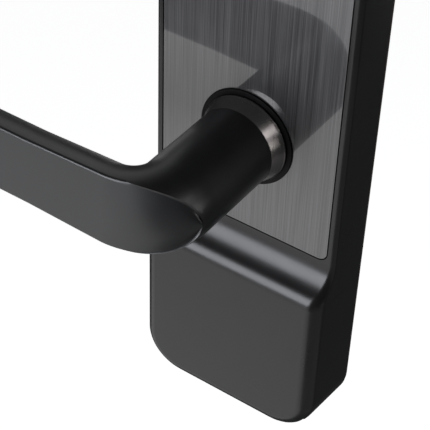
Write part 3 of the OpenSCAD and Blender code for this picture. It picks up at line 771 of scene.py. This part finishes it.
@dataclass
class BodyShape:
    """Die-cast body: drafted sides, round corners and an S-shaped step to the battery bulge."""

    half_width: float = 32.5 * MM
    top: float = 186 * MM
    bottom: float = -104 * MM
    rear: float = -1 * MM
    upper_front: float = -16.5 * MM
    bulge_front: float = -23 * MM
    draft: float = 0.05
    corner: float = 13.75 * MM
    upper_edge: float = 1.6 * MM
    bulge_edge: float = 4.3 * MM
    step_start: float = -33 * MM
    step_slope: float = 48
    step_hollow: float = 0.65
    wall: float = 2.2 * MM
    front_wall: float = 1.8 * MM
    seat: float = 0.1 * MM
    arc_steps: int = 10
    corner_steps: int = 14
    rim_steps: int = 7
    overrun: float = 80 * MM
    near_end: float = 90 * MM
    near_side: float = 20 * MM
    corner_zone: float = 4 * MM
    corner_edge_least: float = 12 * MM
    rim_zone: float = 1.3
    front_facing: float = 0.6
    side_facing: float = 0.3

    @property
    def step_radius(self) -> float:
        """Sum of the step's two radii, from its rise and slope."""
        return (self.upper_front - self.bulge_front) / (1 - math.cos(math.radians(self.step_slope)))

    @property
    def step_end(self) -> float:
        """Height at which the step reaches the bulge's face."""
        return self.step_start - self.step_radius * math.sin(math.radians(self.step_slope))

    def half_at(self, y: float) -> float:
        """Half width of the body at a depth."""
        return self.half_width + self.draft * y

    def solid(self, name: str) -> bpy.types.Object:
        """The body's outside as one closed solid.

        Args:
            name: name of the piece.

        Returns:
            The solid, from its rear rim to its front.
        """
        slope = math.radians(self.step_slope)
        hollow = self.step_radius * self.step_hollow
        crown = self.step_radius - hollow
        half = self.half_at(self.upper_front)
        top = self.top + self.draft * self.upper_front
        piece = chain(name, [(-half, self.upper_front, top), (half, self.upper_front, top)])
        with Edit(piece) as edit:
            edit.all()
            self._extrude((0, 0, self.step_start - top))
            bpy.ops.mesh.spin(
                steps=self.arc_steps, angle=slope, axis=(1, 0, 0),
                center=(0, self.upper_front - hollow, self.step_start))
            bpy.ops.mesh.spin(
                steps=self.arc_steps, angle=-slope, axis=(1, 0, 0),
                center=(0, self.bulge_front + crown, self.step_end))
            self._extrude((0, 0, self.bottom - self.draft * self.bulge_front - self.step_end))
            edit.all()
            bpy.ops.mesh.remove_doubles(threshold=1e-6)
            rows = sorted({round(v.co.y, 6) for v in edit.mesh.verts})
            for row in rows:
                edit.verts(lambda co: near(co.y, row, 2e-6))
                self._widen(self.half_at(row) / half)
            edit.all()
            self._extrude((0, self.overrun, 0))
            self._flatten_rear(edit)
            self._round_corners(edit)
            edit.all()
            bpy.ops.mesh.normals_make_consistent(inside=False)
        self._round_front(piece)
        return piece

    @staticmethod
    def _extrude(reach: Point) -> None:
        """Extrudes what is selected by a vector."""
        bpy.ops.mesh.extrude_region_move(TRANSFORM_OT_translate={"value": reach})

    @staticmethod
    def _widen(share: float) -> None:
        """Scales what is selected in X about the middle plane."""
        bpy.ops.transform.resize(value=(share, 1, 1), center_override=(0, 0, 0))

    def _flatten_rear(self, edit: Edit) -> None:
        """Cuts the extruded body at its rear plane and sets the rear rim to the full size.

        Args:
            edit: the edit that is open on the body.
        """
        edit.all()
        bpy.ops.mesh.bisect(
            plane_co=(0, self.rear, 0), plane_no=(0, 1, 0), clear_outer=True, use_fill=True)
        edit.verts(lambda co: near(co.y, self.rear))
        bpy.ops.mesh.dissolve_limited(angle_limit=0.01)
        for sign, front in ((1, self.upper_front), (-1, self.bulge_front)):
            lift = self.draft * (self.rear - front) * sign
            if edit.verts(lambda co: near(co.y, self.rear) and co.z * sign > self.near_end):
                bpy.ops.transform.translate(value=(0, 0, lift))
        for sign in (1, -1):
            edit.verts(lambda co: near(co.y, self.rear) and co.x * sign > self.near_side)
            side = sign * self.half_at(self.rear)
            bpy.ops.transform.resize(value=(0, 1, 1), center_override=(side, 0, 0))

    def _round_corners(self, edit: Edit) -> None:
        """Rounds the four corners that run from front to rear.

        Args:
            edit: the edit that is open on the body.
        """
        edit.edges(lambda a, b: abs(a.y - b.y) > self.corner_edge_least and abs(a.x) > self.near_side and (
            min(a.z, b.z) > self.top - self.corner_zone or max(a.z, b.z) < self.bottom + self.corner_zone))
        edit.bevel(self.corner, self.corner_steps)

    def _round_front(self, piece: bpy.types.Object) -> None:
        """Rounds the front rim evenly, then widens the round at each rim point by its depth.

        Args:
            piece: the body.
        """
        with Edit(piece) as edit:
            edit.mesh.normal_update()
            rim = [e for e in edit.mesh.edges if self._on_rim(e)]
            corners = list({v.co.copy().freeze() for e in rim for v in e.verts})
            edit.pick("EDGE", rim)
            edit.bevel(self.upper_edge, self.rim_steps, clamp=False)
            groups: dict[Vector, list[int]] = {}
            for vert in edit.mesh.verts:
                corner = min(corners, key=lambda c: (c - vert.co).length_squared)
                if (corner - vert.co).length < self.upper_edge * self.rim_zone:
                    groups.setdefault(corner, []).append(vert.index)
            for corner, indices in groups.items():
                mesh = edit.mesh
                mesh.verts.ensure_lookup_table()
                edit.pick("VERT", [mesh.verts[i] for i in indices])
                bpy.ops.transform.resize(value=(self._rim_growth(corner),) * 3, center_override=corner)

    def _on_rim(self, edge: bmesh.types.BMEdge) -> bool:
        """Tells whether an edge lies between the front surface and the sides.

        Args:
            edge: the edge.

        Returns:
            True if it does.
        """
        if len(edge.link_faces) != 2:
            return False
        a, b = (-f.normal.y for f in edge.link_faces)
        return max(a, b) > self.front_facing and min(a, b) < self.side_facing

    def _rim_growth(self, corner: Vector) -> float:
        """How much wider the rim's round is at a point than round the upper body."""
        depth = (corner.y - self.upper_front) / (self.bulge_front - self.upper_front)
        return 1 + (self.bulge_edge / self.upper_edge - 1) * min(max(depth, 0), 1)


OVERCUT = 1 * MM


def front_cutters(start: float, end: float, inset: float) -> list[bpy.types.Object]:
    """Cutters for the keypad, the status lens and the lever's bush through a wall of the front.

    Args:
        start: front of the wall.
        end: back of the wall.
        inset: how much smaller than the bezel the keypad's hole is, each way.

    Returns:
        The three cutters.
    """
    bezel_corner, lens_radius, bush_radius = 4 * MM, 2.1 * MM, 12.65 * MM
    start, end = start - OVERCUT, end + OVERCUT
    low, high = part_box("keypad_bezel")
    return [
        rounded_plate("keypad_hole", (low.x + inset, start, low.z + inset),
                      (high.x - inset, end, high.z - inset), bezel_corner),
        rod_solid("lens_hole", Axis.Y, node_middle("status_lens"), start, end, lens_radius, sides=32),
        rod_solid("bush_hole", Axis.Y, (0, 0, 0), start, end, bush_radius),
    ]


@dataclass
class Casing:
    """The body, the seal and the back plate with what is fixed in it."""

    shape: BodyShape = field(default_factory=BodyShape)
    plate_gap: float = 0.3 * MM
    recess_corner: float = 3.3 * MM
    bezel_seat: float = 2 * MM
    room_inset: float = 0.9 * MM
    bay_inset: float = 1.15 * MM
    bay_corner: float = 2.5 * MM
    cap_gap: float = 0.3 * MM
    head_depth: float = 2.6 * MM
    head_radius: float = 2.05 * MM
    core_radius: float = 1.35 * MM
    sharp_angle: float = 32

    def build(self) -> None:
        """Builds the body's shell and the tray's cap, and dresses the CAD nodes behind."""
        self._housing()
        self._cap()
        dress_nodes(Finishes.GASKET, "gasket")
        dress_nodes(Finishes.ZINC, "back_plate", "stop_plate", "latch_nut")
        dress_nodes(Finishes.STEEL, "fixing_posts", "plate_screws", "board_screws", "stop_screws",
                    "bracket_screws", "cap_screw")
        dress_nodes(Finishes.RUBBER, "cable_grommet")

    def _housing(self) -> None:
        """Cuts the faceplate's recess, the openings and the inside out of the body."""
        s = self.shape
        body = s.solid("housing_shell")
        face_low, face_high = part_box("faceplate")
        seat = face_high.y + s.seat
        inner = seat + s.front_wall
        gap = self.plate_gap
        half = s.half_at(s.upper_front) - s.wall
        bay_half = s.half_at(s.bulge_front) - s.wall
        floor = s.bottom + s.wall
        cuts = [
            rounded_plate("recess", (face_low.x - gap, s.bulge_front - OVERCUT, face_low.z - gap),
                          (face_high.x + gap, seat, face_high.z + gap), self.recess_corner),
            *front_cutters(seat, inner, self.bezel_seat),
            rounded_plate("upper_room", (-half, inner, floor + self.room_inset),
                          (half, OVERCUT, s.top - s.wall - self.room_inset), s.corner - s.wall),
            rounded_plate("bay_room", (-bay_half, s.bulge_front + s.wall, floor + self.bay_inset),
                          (bay_half, OVERCUT, s.step_end), self.bay_corner),
            box_solid("tray_opening", *self._cap_box(self.cap_gap)),
        ]
        for cutter in cuts:
            boolean(body, cutter, Boolean.CUT)
        smooth(body, self.sharp_angle)
        install(body, "body", "satin_black", Finishes.BODY, "housing")

    def _cap_box(self, gap: float) -> tuple[Vector, Vector]:
        """Box that the tray's cap is cut from.

        Args:
            gap: how much larger it is all round.

        Returns:
            Its lowest and highest corners.
        """
        low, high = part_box("tray_cap")
        bottom = self.shape.bottom - 10 * OVERCUT
        return Vector((low.x - gap, low.y - gap, bottom)), high + Vector((gap, gap, gap))

    def _cap(self) -> None:
        """Cuts the tray's cap out of the body's outside, with its screw hole."""
        cap = self.shape.solid("tray_end_cap")
        low, high = self._cap_box(0)
        boolean(cap, box_solid("cap_room", low, high), Boolean.KEEP)
        screw, bottom = node_middle("cap_screw"), self.shape.bottom
        seat = bottom + self.head_depth
        head = rod_solid("head_hole", Axis.Z, screw, low.z, seat, self.head_radius, sides=40)
        core = rod_solid("core_hole", Axis.Z, screw, bottom, high.z + OVERCUT, self.core_radius, sides=32)
        for cutter in (head, core):
            boolean(cap, cutter, Boolean.CUT)
        smooth(cap, self.sharp_angle)
        install(cap, "battery_tray", "satin_black", Finishes.BODY, "tray_cap")


@dataclass
class Face:
    """Brushed faceplate and the status lens."""

    corner: float = 3 * MM
    edge: float = 0.18 * MM
    bezel_gap: float = 0.1 * MM

    def build(self) -> None:
        """Builds the faceplate with its three holes, and dresses the lens."""
        low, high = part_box("faceplate")
        plate = rounded_plate("brushed_faceplate", low, high, self.corner, self.edge)
        for cutter in front_cutters(low.y, high.y, -self.bezel_gap):
            boolean(plate, cutter, Boolean.CUT)
        smooth(plate)
        install(plate, "body", "dark_brushed", Finishes.FACE, "faceplate")
        dress_nodes(Finishes.LENS, "status_lens")


KEY_SIGNS = {
    "key_1": "1", "key_2": "2", "key_3": "3", "key_4": "4", "key_5": "5", "key_6": "6",
    "key_7": "7", "key_8": "8", "key_9": "9", "key_clear": "*", "key_0": "0", "key_enter": "#",
}


@dataclass
class Keypad:
    """Gloss bezel, twelve keys with their signs, and the board behind them."""

    bezel_corner: float = 4 * MM
    bezel_edge: float = 0.3 * MM
    hole_gap: float = 0.2 * MM
    hole_corner: float = 2.2 * MM
    key_corner: float = 2 * MM
    key_edge: float = 0.45 * MM
    flange: float = 1 * MM
    flange_thickness: float = 0.9 * MM
    flange_corner: float = 3 * MM
    sign_height: float = 6.4 * MM
    sign_depth: float = 0.12 * MM

    def build(self) -> None:
        """Builds the bezel and the keys, and dresses the board's nodes."""
        self._bezel()
        for name, sign in KEY_SIGNS.items():
            self._key(name, sign)
        dress_nodes(Finishes.SILICONE, "keypad_membrane")
        dress_nodes(Finishes.BOARD, "main_board")
        dress_nodes(Finishes.CHIP, "board_components")

    @staticmethod
    def _smaller_box(name: str, less: float) -> tuple[Vector, Vector]:
        """Box of a key, smaller by a width in X and Z."""
        low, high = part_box(name)
        return low + Vector((less, 0, less)), high - Vector((less, 0, less))

    def _bezel(self) -> None:
        """A plate with a soft edge and a hole for each key."""
        low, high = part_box("keypad_bezel")
        bezel = rounded_plate(
            "gloss_bezel", low, high, self.bezel_corner, self.bezel_edge, corner_steps=12, edge_steps=4)
        for name in KEY_SIGNS:
            hole_low, hole_high = self._smaller_box(name, self.flange - self.hole_gap)
            hole_low.y, hole_high.y = low.y - OVERCUT, high.y + OVERCUT
            hole = rounded_plate("key_hole", hole_low, hole_high, self.hole_corner, corner_steps=6)
            boolean(bezel, hole, Boolean.CUT)
        smooth(bezel)
        install(bezel, "body", "gloss_black", Finishes.BEZEL, "keypad_bezel")

    def _key(self, name: str, sign: str) -> None:
        """A key with soft edges, its flange and its sign.

        Args:
            name: the key's node.
            sign: the character on it.
        """
        low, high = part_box(name)
        key = rounded_plate(
            name + "_cap", *self._smaller_box(name, self.flange), self.key_corner, self.key_edge,
            corner_steps=8, edge_steps=4)
        flange_low = (low.x, high.y - self.flange_thickness, low.z)
        flange = rounded_plate("flange", flange_low, high, self.flange_corner, corner_steps=6)
        boolean(key, flange, Boolean.JOIN)
        smooth(key)
        install(key, name, "key_plastic", Finishes.KEY, name)
        middle = (low + high) / 2
        front = (middle.x, low.y - self.sign_depth / 2, middle.z)
        mark = text_piece(name + "_sign", sign, self.sign_height, front, self.sign_depth)
        install(mark, name, "key_plastic", Finishes.DIGIT)


# ---------------------------------------------------------------- lever


SOFT_POINTS = 5
CROWN_OUT = 0.3
MOST_SOFT = 0.4


@dataclass
class Section:
    """One cut across the lever: a disc with its front sliced off and the slice's edges softened.

    The distance to the slice is front, and crown is how far its middle stands out from its edges.
    """

    centre: Vector
    outward: Vector
    radius: float
    front: float
    crown: float = 0.0

    def points(self, arc: int, flat: int, crisp: float, least: float) -> list[Vector]:
        """Places the points of the section in order, round its back and then over its front.

        Args:
            arc: how many points lie on the round back.
            flat: how many points lie on the front between its softened edges.
            crisp: width of the softened edges.
            least: least half angle of the front, in radians; a whole disc has its front points there.

        Returns:
            The points, closed when the last is joined to the first.
        """
        edge = max(math.acos(min(max(self.front / self.radius, -1), 1)), least)
        sliced = edge > least
        depth = self.radius * math.cos(edge)
        half = self.radius * math.sin(edge)
        soft = min(crisp, half * MOST_SOFT) if sliced else 0
        turn = soft / self.radius
        back = [edge + turn + (math.tau - 2 * (edge + turn)) * i / (arc - 1) for i in range(arc)]
        around = [(self.radius * math.cos(a), self.radius * math.sin(a)) for a in back]
        if sliced:
            rise = [(half - soft) * (2 * i / (flat - 1) - 1) for i in range(flat)]
            front = [(depth + self.crown * (CROWN_OUT - (z / half) ** 2), z) for z in rise]
            corner = depth - self.crown * (1 - CROWN_OUT)
            around += self._soft_edge(around[-1], (corner, -half), front[0]) + front
            around += self._soft_edge(front[-1], (corner, half), around[0])
        else:
            count = flat + 2 * SOFT_POINTS
            ahead = [-edge + 2 * edge * (i + 1) / (count + 1) for i in range(count)]
            around += [(self.radius * math.cos(a), self.radius * math.sin(a)) for a in ahead]
        return [self.centre + self.outward * reach + Vector((0, 0, z)) for reach, z in around]

    @staticmethod
    def _soft_edge(start: Flat, corner: Flat, end: Flat) -> list[Flat]:
        """Points of the round that leads from one side of a corner to the other.

        Args:
            start: the last point before the corner.
            corner: the corner.
            end: the first point after it.

        Returns:
            The points between start and end.
        """
        shares = [(i + 1) / (SOFT_POINTS + 1) for i in range(SOFT_POINTS)]
        return [
            tuple(a * (1 - t) ** 2 + b * 2 * t * (1 - t) + c * t ** 2 for a, b, c in zip(start, corner, end))
            for t in shares
        ]


def loft(name: str, rings: Sequence[Sequence[Vector]]) -> bpy.types.Object:
    """A closed solid through rings that have the same number of points.

    Args:
        name: name of the piece.
        rings: the rings, in order.

    Returns:
        The solid, with flat ends.
    """
    count = len(rings[0])
    last = (len(rings) - 1) * count
    faces = [
        (row + i, row + (i + 1) % count, row + count + (i + 1) % count, row + count + i)
        for row in range(0, last, count) for i in range(count)
    ]
    faces += [tuple(range(count)), tuple(range(last, last + count))]
    mesh = bpy.data.meshes.new(name)
    mesh.from_pydata([point for ring in rings for point in ring], [], faces)
    piece = bpy.data.objects.new(name, mesh)
    bpy.context.scene.collection.objects.link(piece)
    with Edit(piece) as edit:
        edit.all()
        bpy.ops.mesh.normals_make_consistent(inside=False)
    return piece


@dataclass
class LeverSet:
    """Lever bent from a round bar, its collar and the ring at its foot, which is coloured black as painted
    shade.
    """

    neck_radius: float = 12.15 * MM
    bar_radius: float = 11.4 * MM
    seat_radius: float = 11.2 * MM
    journal_radius: float = 10.5 * MM
    inner_bend: float = 2 * MM
    taper: float = 25 * MM
    grip_depth: float = 13 * MM
    outer_curve: float = 34 * MM
    curve_start: float = -13.4 * MM
    curve_turn: float = 62
    tip_round: float = 2.5 * MM
    crisp: float = 0.8 * MM
    crown: float = 1.5 * MM
    arc_points: int = 96
    flat_points: int = 9
    least_front: float = 3.0
    bend_steps: int = 90
    straight_steps: int = 20
    tip_steps: int = 8
    crown_growth: float = 1.6
    sharp_angle: float = 40
    collar_fit: float = 0.02 * MM
    collar_soft: float = 0.25 * MM
    lip: tuple[Flat, ...] = ((0.35 * MM, 1.1 * MM), (0.1 * MM, 0.8 * MM), (0, 0.5 * MM))
    bush_fit: float = 0.05 * MM
    bush_radius: float = 12.6 * MM
    flange_thickness: float = 0.65 * MM
    flange_soft: float = 0.3 * MM

    def build(self) -> None:
        """Builds the lever, collar and ring, and dresses the hub behind them."""
        self._lever()
        self._collar()
        self._ring()
        dress_nodes(Finishes.PALE_NYLON, "thrust_washer")
        dress_nodes(Finishes.STEEL, "lever_hub", "hub_washer", "hub_screw")
        dress_nodes(Finishes.SPRING, "return_spring")

    def _lever(self) -> None:
        """Lofts the lever through its sections: foot, neck, bend, tapered bar and round tip."""
        low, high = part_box("lever")
        sections = [*self._foot(high), *self._bend(low), *self._bar(low)]
        least = math.radians(self.least_front)
        lever = loft("bent_lever", [
            s.points(self.arc_points, self.flat_points, self.crisp, least) for s in sections])
        smooth(lever, self.sharp_angle)
        install(lever, "lever", "satin_black_lever", Finishes.LEVER, "lever")

    def _foot(self, high: Vector) -> list[Section]:
        """Sections of the journal and the collar's seat, up to the start of the neck.

        Args:
            high: the lever's highest corner.

        Returns:
            The sections, from the back to the front.
        """
        collar_low, collar_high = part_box("lever_collar")
        steps = ((high.y, self.journal_radius), (collar_high.y, self.journal_radius),
                 (collar_high.y, self.seat_radius), (collar_low.y, self.seat_radius),
                 (collar_low.y, self.neck_radius))
        return [Section(Vector((0, y, 0)), Axis.X.value, radius, radius) for y, radius in steps]

    def _front_at(self, origin: Vector, outward: Vector, low: Vector) -> float:
        """Finds how far the cut front lies from a point, along a line through the bend's centre.

        Args:
            origin: the point that the distance is measured from.
            outward: the line's direction.
            low: the lever's lowest corner, whose Y is the flat front.

        Returns:
            The distance to the front, or a large one where the line misses it.
        """
        far = 1.0
        if outward.y > -1e-6:
            return far
        flat = (low.y - origin.y) / outward.y
        if origin.x + outward.x * flat <= self.curve_start:
            return flat
        centre = Vector((self.curve_start, low.y + self.outer_curve, 0))
        to_centre = centre - origin
        along = to_centre.dot(outward)
        aside = to_centre.length_squared - along * along
        if aside > self.outer_curve ** 2:
            return far
        hit = along + math.sqrt(self.outer_curve ** 2 - aside)
        place = origin + outward * hit
        reach = self.curve_start + self.outer_curve * math.sin(math.radians(self.curve_turn))
        return hit if place.x <= reach else far

    def _path(self, low: Vector) -> tuple[float, float]:
        """Radius of the bend's middle line, and the Y of the bar's."""
        return self.neck_radius + self.inner_bend, low.y + self.grip_depth - self.bar_radius

    def _bend(self, low: Vector) -> list[Section]:
        """Sections of the quarter turn from the neck to the bar.

        Args:
            low: the lever's lowest corner.

        Returns:
            The sections, from the neck to the bar.
        """
        path, bar_y = self._path(low)
        pivot = Vector((-path, bar_y + path, 0))
        sections = []
        for i in range(self.bend_steps + 1):
            turn = math.pi / 2 * i / self.bend_steps
            outward = Vector((math.cos(turn), -math.sin(turn), 0))
            centre = pivot + outward * path
            share = min(self.crown_growth * (1 - i / self.bend_steps), 1)
            crown = self.crown * (1 - math.cos(math.pi * share)) / 2
            front = self._front_at(centre, outward, low)
            sections.append(Section(centre, outward, self.neck_radius, front, crown))
        return sections

    def _bar(self, low: Vector) -> list[Section]:
        """Sections of the tapered bar, the straight grip and its round tip.

        Args:
            low: the lever's lowest corner.

        Returns:
            The sections, from the bend to the tip.
        """
        path, bar_y = self._path(low)
        front = bar_y - low.y
        outward = -Axis.Y.value
        sections = []
        for i in range(1, self.straight_steps + 1):
            share = i / self.straight_steps
            radius = self.neck_radius + (self.bar_radius - self.neck_radius) * share
            sections.append(Section(Vector((-path - self.taper * share, bar_y, 0)), outward, radius, front))
        for i in range(self.tip_steps + 1):
            turn = math.pi / 2 * i / self.tip_steps
            inset = self.tip_round * (1 - math.cos(turn))
            x = low.x + self.tip_round * (1 - math.sin(turn))
            sections.append(Section(Vector((x, bar_y, 0)), outward, self.bar_radius - inset, front - inset))
        return sections

    def _collar(self) -> None:
        """A polished cone with a small lip at its foot and a soft nose."""
        low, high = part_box("lever_collar")
        rim = high.x
        inner = self.seat_radius + self.collar_fit
        soft = self.collar_soft
        collar = lathe("cone_collar", [
            (inner, low.y), (self.neck_radius - soft / 2, low.y), (self.neck_radius, low.y + soft),
            *((rim - inset, high.y - drop) for inset, drop in self.lip),
            (rim, high.y - soft), (rim - soft, high.y), (inner, high.y)])
        smooth(collar, self.sharp_angle)
        install(collar, "lever", "black_chrome", Finishes.COLLAR, "lever_collar")

    def _ring(self) -> None:
        """The bush: a barrel with a flange whose outer edge is rounded."""
        low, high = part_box("lever_bush")
        radius, bore, barrel = high.x, self.journal_radius + self.bush_fit, self.bush_radius
        under, soft = low.y + self.flange_thickness, self.flange_soft
        ring = lathe("bush_ring", [
            (bore, low.y), (radius - soft, low.y), (radius - soft * 0.3, low.y + soft * 0.3),
            (radius, low.y + soft), (radius, under), (barrel, under), (barrel, high.y), (bore, high.y)])
        smooth(ring, self.sharp_angle)
        # The ring's black finish is painted shade for the gap at the collar's foot.
        install(ring, "body", "black_nylon", Finishes.RING, "lever_bush")


# ---------------------------------------------------------------- inside


@dataclass
class ClutchSet:
    """Spindle, driver, clutch and motor; their shapes are the CAD's own."""

    def build(self) -> None:
        """Dresses each node in its own metal or plastic."""
        dress_nodes(Finishes.STEEL, "spindle", "clutch_pin", "motor_can")
        dress_nodes(Finishes.BRASS, "spindle_driver", "lead_screw", "motor_gearbox")
        dress_nodes(Finishes.PALE_NYLON, "clutch_slider", "motor_bracket", "slider_guide")
        dress_nodes(Finishes.SPRING, "pin_spring")


@dataclass
class BatterySet:
    """Tray, cells and contacts; their shapes are the CAD's own."""

    def build(self) -> None:
        """Dresses each node in its own plastic or metal."""
        dress_nodes(Finishes.NYLON, "battery_tray")
        dress_nodes(Finishes.CELL, "battery_cells")
        dress_nodes(Finishes.CONTACT, "contact_springs", "contact_plates", "tray_blades")
        dress_nodes(Finishes.PALE_NYLON, "bay_terminal")
        dress_nodes(Finishes.LEAD, "battery_lead")


# ---------------------------------------------------------------- studio


@dataclass(frozen=True)
class Softbox:
    """A flat soft light seen from the lever's foot.

    Azimuth 0 is straight ahead of the lock and grows to its right; angles are in degrees.
    """

    name: str
    azimuth: float
    elevation: float
    distance: float
    half_width: float
    half_height: float
    radiance: float
    colour: Colour = (1.0, 1.0, 1.0)

    def build(self) -> None:
        """Hangs the light so that it faces the lever's foot."""
        a, e = math.radians(self.azimuth), math.radians(self.elevation)
        place = Vector((math.sin(a) * math.cos(e), -math.cos(a) * math.cos(e), math.sin(e))) * self.distance
        data = bpy.data.lights.new(self.name, "AREA")
        data.shape = "RECTANGLE"
        data.size = 2 * self.distance * math.tan(math.radians(self.half_width))
        data.size_y = 2 * self.distance * math.tan(math.radians(self.half_height))
        data.energy = self.radiance * math.pi * data.size * data.size_y
        data.color = self.colour
        light = bpy.data.objects.new(self.name, data)
        light.location = place
        light.rotation_mode = "QUATERNION"
        light.rotation_quaternion = (-place).to_track_quat("-Z", "Y")
        light.visible_camera = False
        bpy.context.scene.collection.objects.link(light)


SOFTBOXES = (
    Softbox("front_softbox", -17, 2, 1.2, 20, 17, 6.5, (0.965, 0.985, 1.05)),
    Softbox("table_glow", -32, -48, 0.9, 32, 22, 0.85),
    Softbox("table_glow_right", 68, -48, 0.9, 30, 20, 0.16),
    Softbox("right_strip", 103, 3, 1.0, 7, 9, 3.0, (1.0, 0.98, 0.96)),
    Softbox("right_high", 96, 30, 1.0, 8, 9, 3.0, (1.0, 0.96, 0.97)),
    Softbox("back_glow", -146, 41, 1.0, 25, 20, 0.7),
    Softbox("back_fill", 185, -15, 1.2, 25, 14, 2.5),
    Softbox("left_strip", -116, 0, 1.0, 9, 12, 1.6, (1.0, 0.98, 0.98)),
)


@dataclass
class Studio:
    """Pale floor, soft lights and the camera."""

    azimuth: float = 33.48
    elevation: float = 40.80
    roll: float = 2.16
    camera_at: Point = (168.43 * MM, -285.77 * MM, 244.54 * MM)
    lens: float = 119.45
    floor_z: float = -1.6
    floor_glow: float = 0.9
    surroundings: float = 0.06

    def build(self) -> None:
        """Sets the floor, world, lights and camera."""
        self._floor()
        self._world()
        for softbox in SOFTBOXES:
            softbox.build()
        self._camera()

    def _floor(self) -> None:
        """A plain pale floor far below the lock, bright enough to look white."""
        deselect()
        bpy.ops.mesh.primitive_plane_add(size=60, location=(0, 0, self.floor_z))
        floor = settle(bpy.context.object, "studio_floor")
        graph = Graph("floor_white")
        graph.surface(
            Base_Color=(0.9, 0.9, 0.9, 1), Roughness=0.9, Emission_Color=(1, 1, 1, 1),
            Emission_Strength=self.floor_glow)
        floor.data.materials.append(graph.material)
        floor.visible_glossy = floor.visible_diffuse = False

    def _world(self) -> None:
        """Dim, even surroundings, so that black stays black, and a pale backdrop behind the lock."""
        world = bpy.data.worlds.new("studio_world")
        world.use_nodes = True
        nodes, links = world.node_tree.nodes, world.node_tree.links
        surroundings, backdrop = nodes["Background"], nodes.new("ShaderNodeBackground")
        surroundings.inputs["Color"].default_value = (0.96, 0.98, 1.0, 1)
        surroundings.inputs["Strength"].default_value = self.surroundings
        backdrop.inputs["Color"].default_value = (1, 1, 1, 1)
        backdrop.inputs["Strength"].default_value = self.floor_glow
        mixed = nodes.new("ShaderNodeMixShader")
        links.new(nodes.new("ShaderNodeLightPath").outputs["Is Camera Ray"], mixed.inputs["Fac"])
        links.new(surroundings.outputs["Background"], mixed.inputs[1])
        links.new(backdrop.outputs["Background"], mixed.inputs[2])
        links.new(mixed.outputs["Shader"], nodes["World Output"].inputs["Surface"])
        bpy.context.scene.world = world
        bpy.context.scene.view_settings.view_transform = "Standard"

    def _camera(self) -> None:
        """Looks down at the lever from the front right."""
        a, e, r = (math.radians(x) for x in (self.azimuth, self.elevation, self.roll))
        back = Vector((math.sin(a) * math.cos(e), -math.cos(a) * math.cos(e), math.sin(e)))
        right = Vector((math.cos(a), math.sin(a), 0))
        up = back.cross(right)
        turned_right = right * math.cos(r) + up * math.sin(r)
        turned_up = up * math.cos(r) - right * math.sin(r)
        data = bpy.data.cameras.new("camera")
        data.lens = self.lens
        data.clip_start, data.clip_end = 0.01, 100
        camera = bpy.data.objects.new("camera", data)
        camera.rotation_mode = "QUATERNION"
        camera.location = self.camera_at
        camera.rotation_quaternion = Matrix((turned_right, turned_up, back)).transposed().to_quaternion()
        bpy.context.scene.collection.objects.link(camera)
        bpy.context.scene.camera = camera


def main() -> None:
    """Builds every sub-assembly in order."""
    logging.basicConfig(level=logging.INFO, format="%(name)s: %(message)s")
    for assembly in (Studio(), Casing(), Face(), Keypad(), LeverSet(), ClutchSet(), BatterySet()):
        log.info("building %s", type(assembly).__name__)
        assembly.build()
    deselect()


if __name__ == "__main__":
    main()
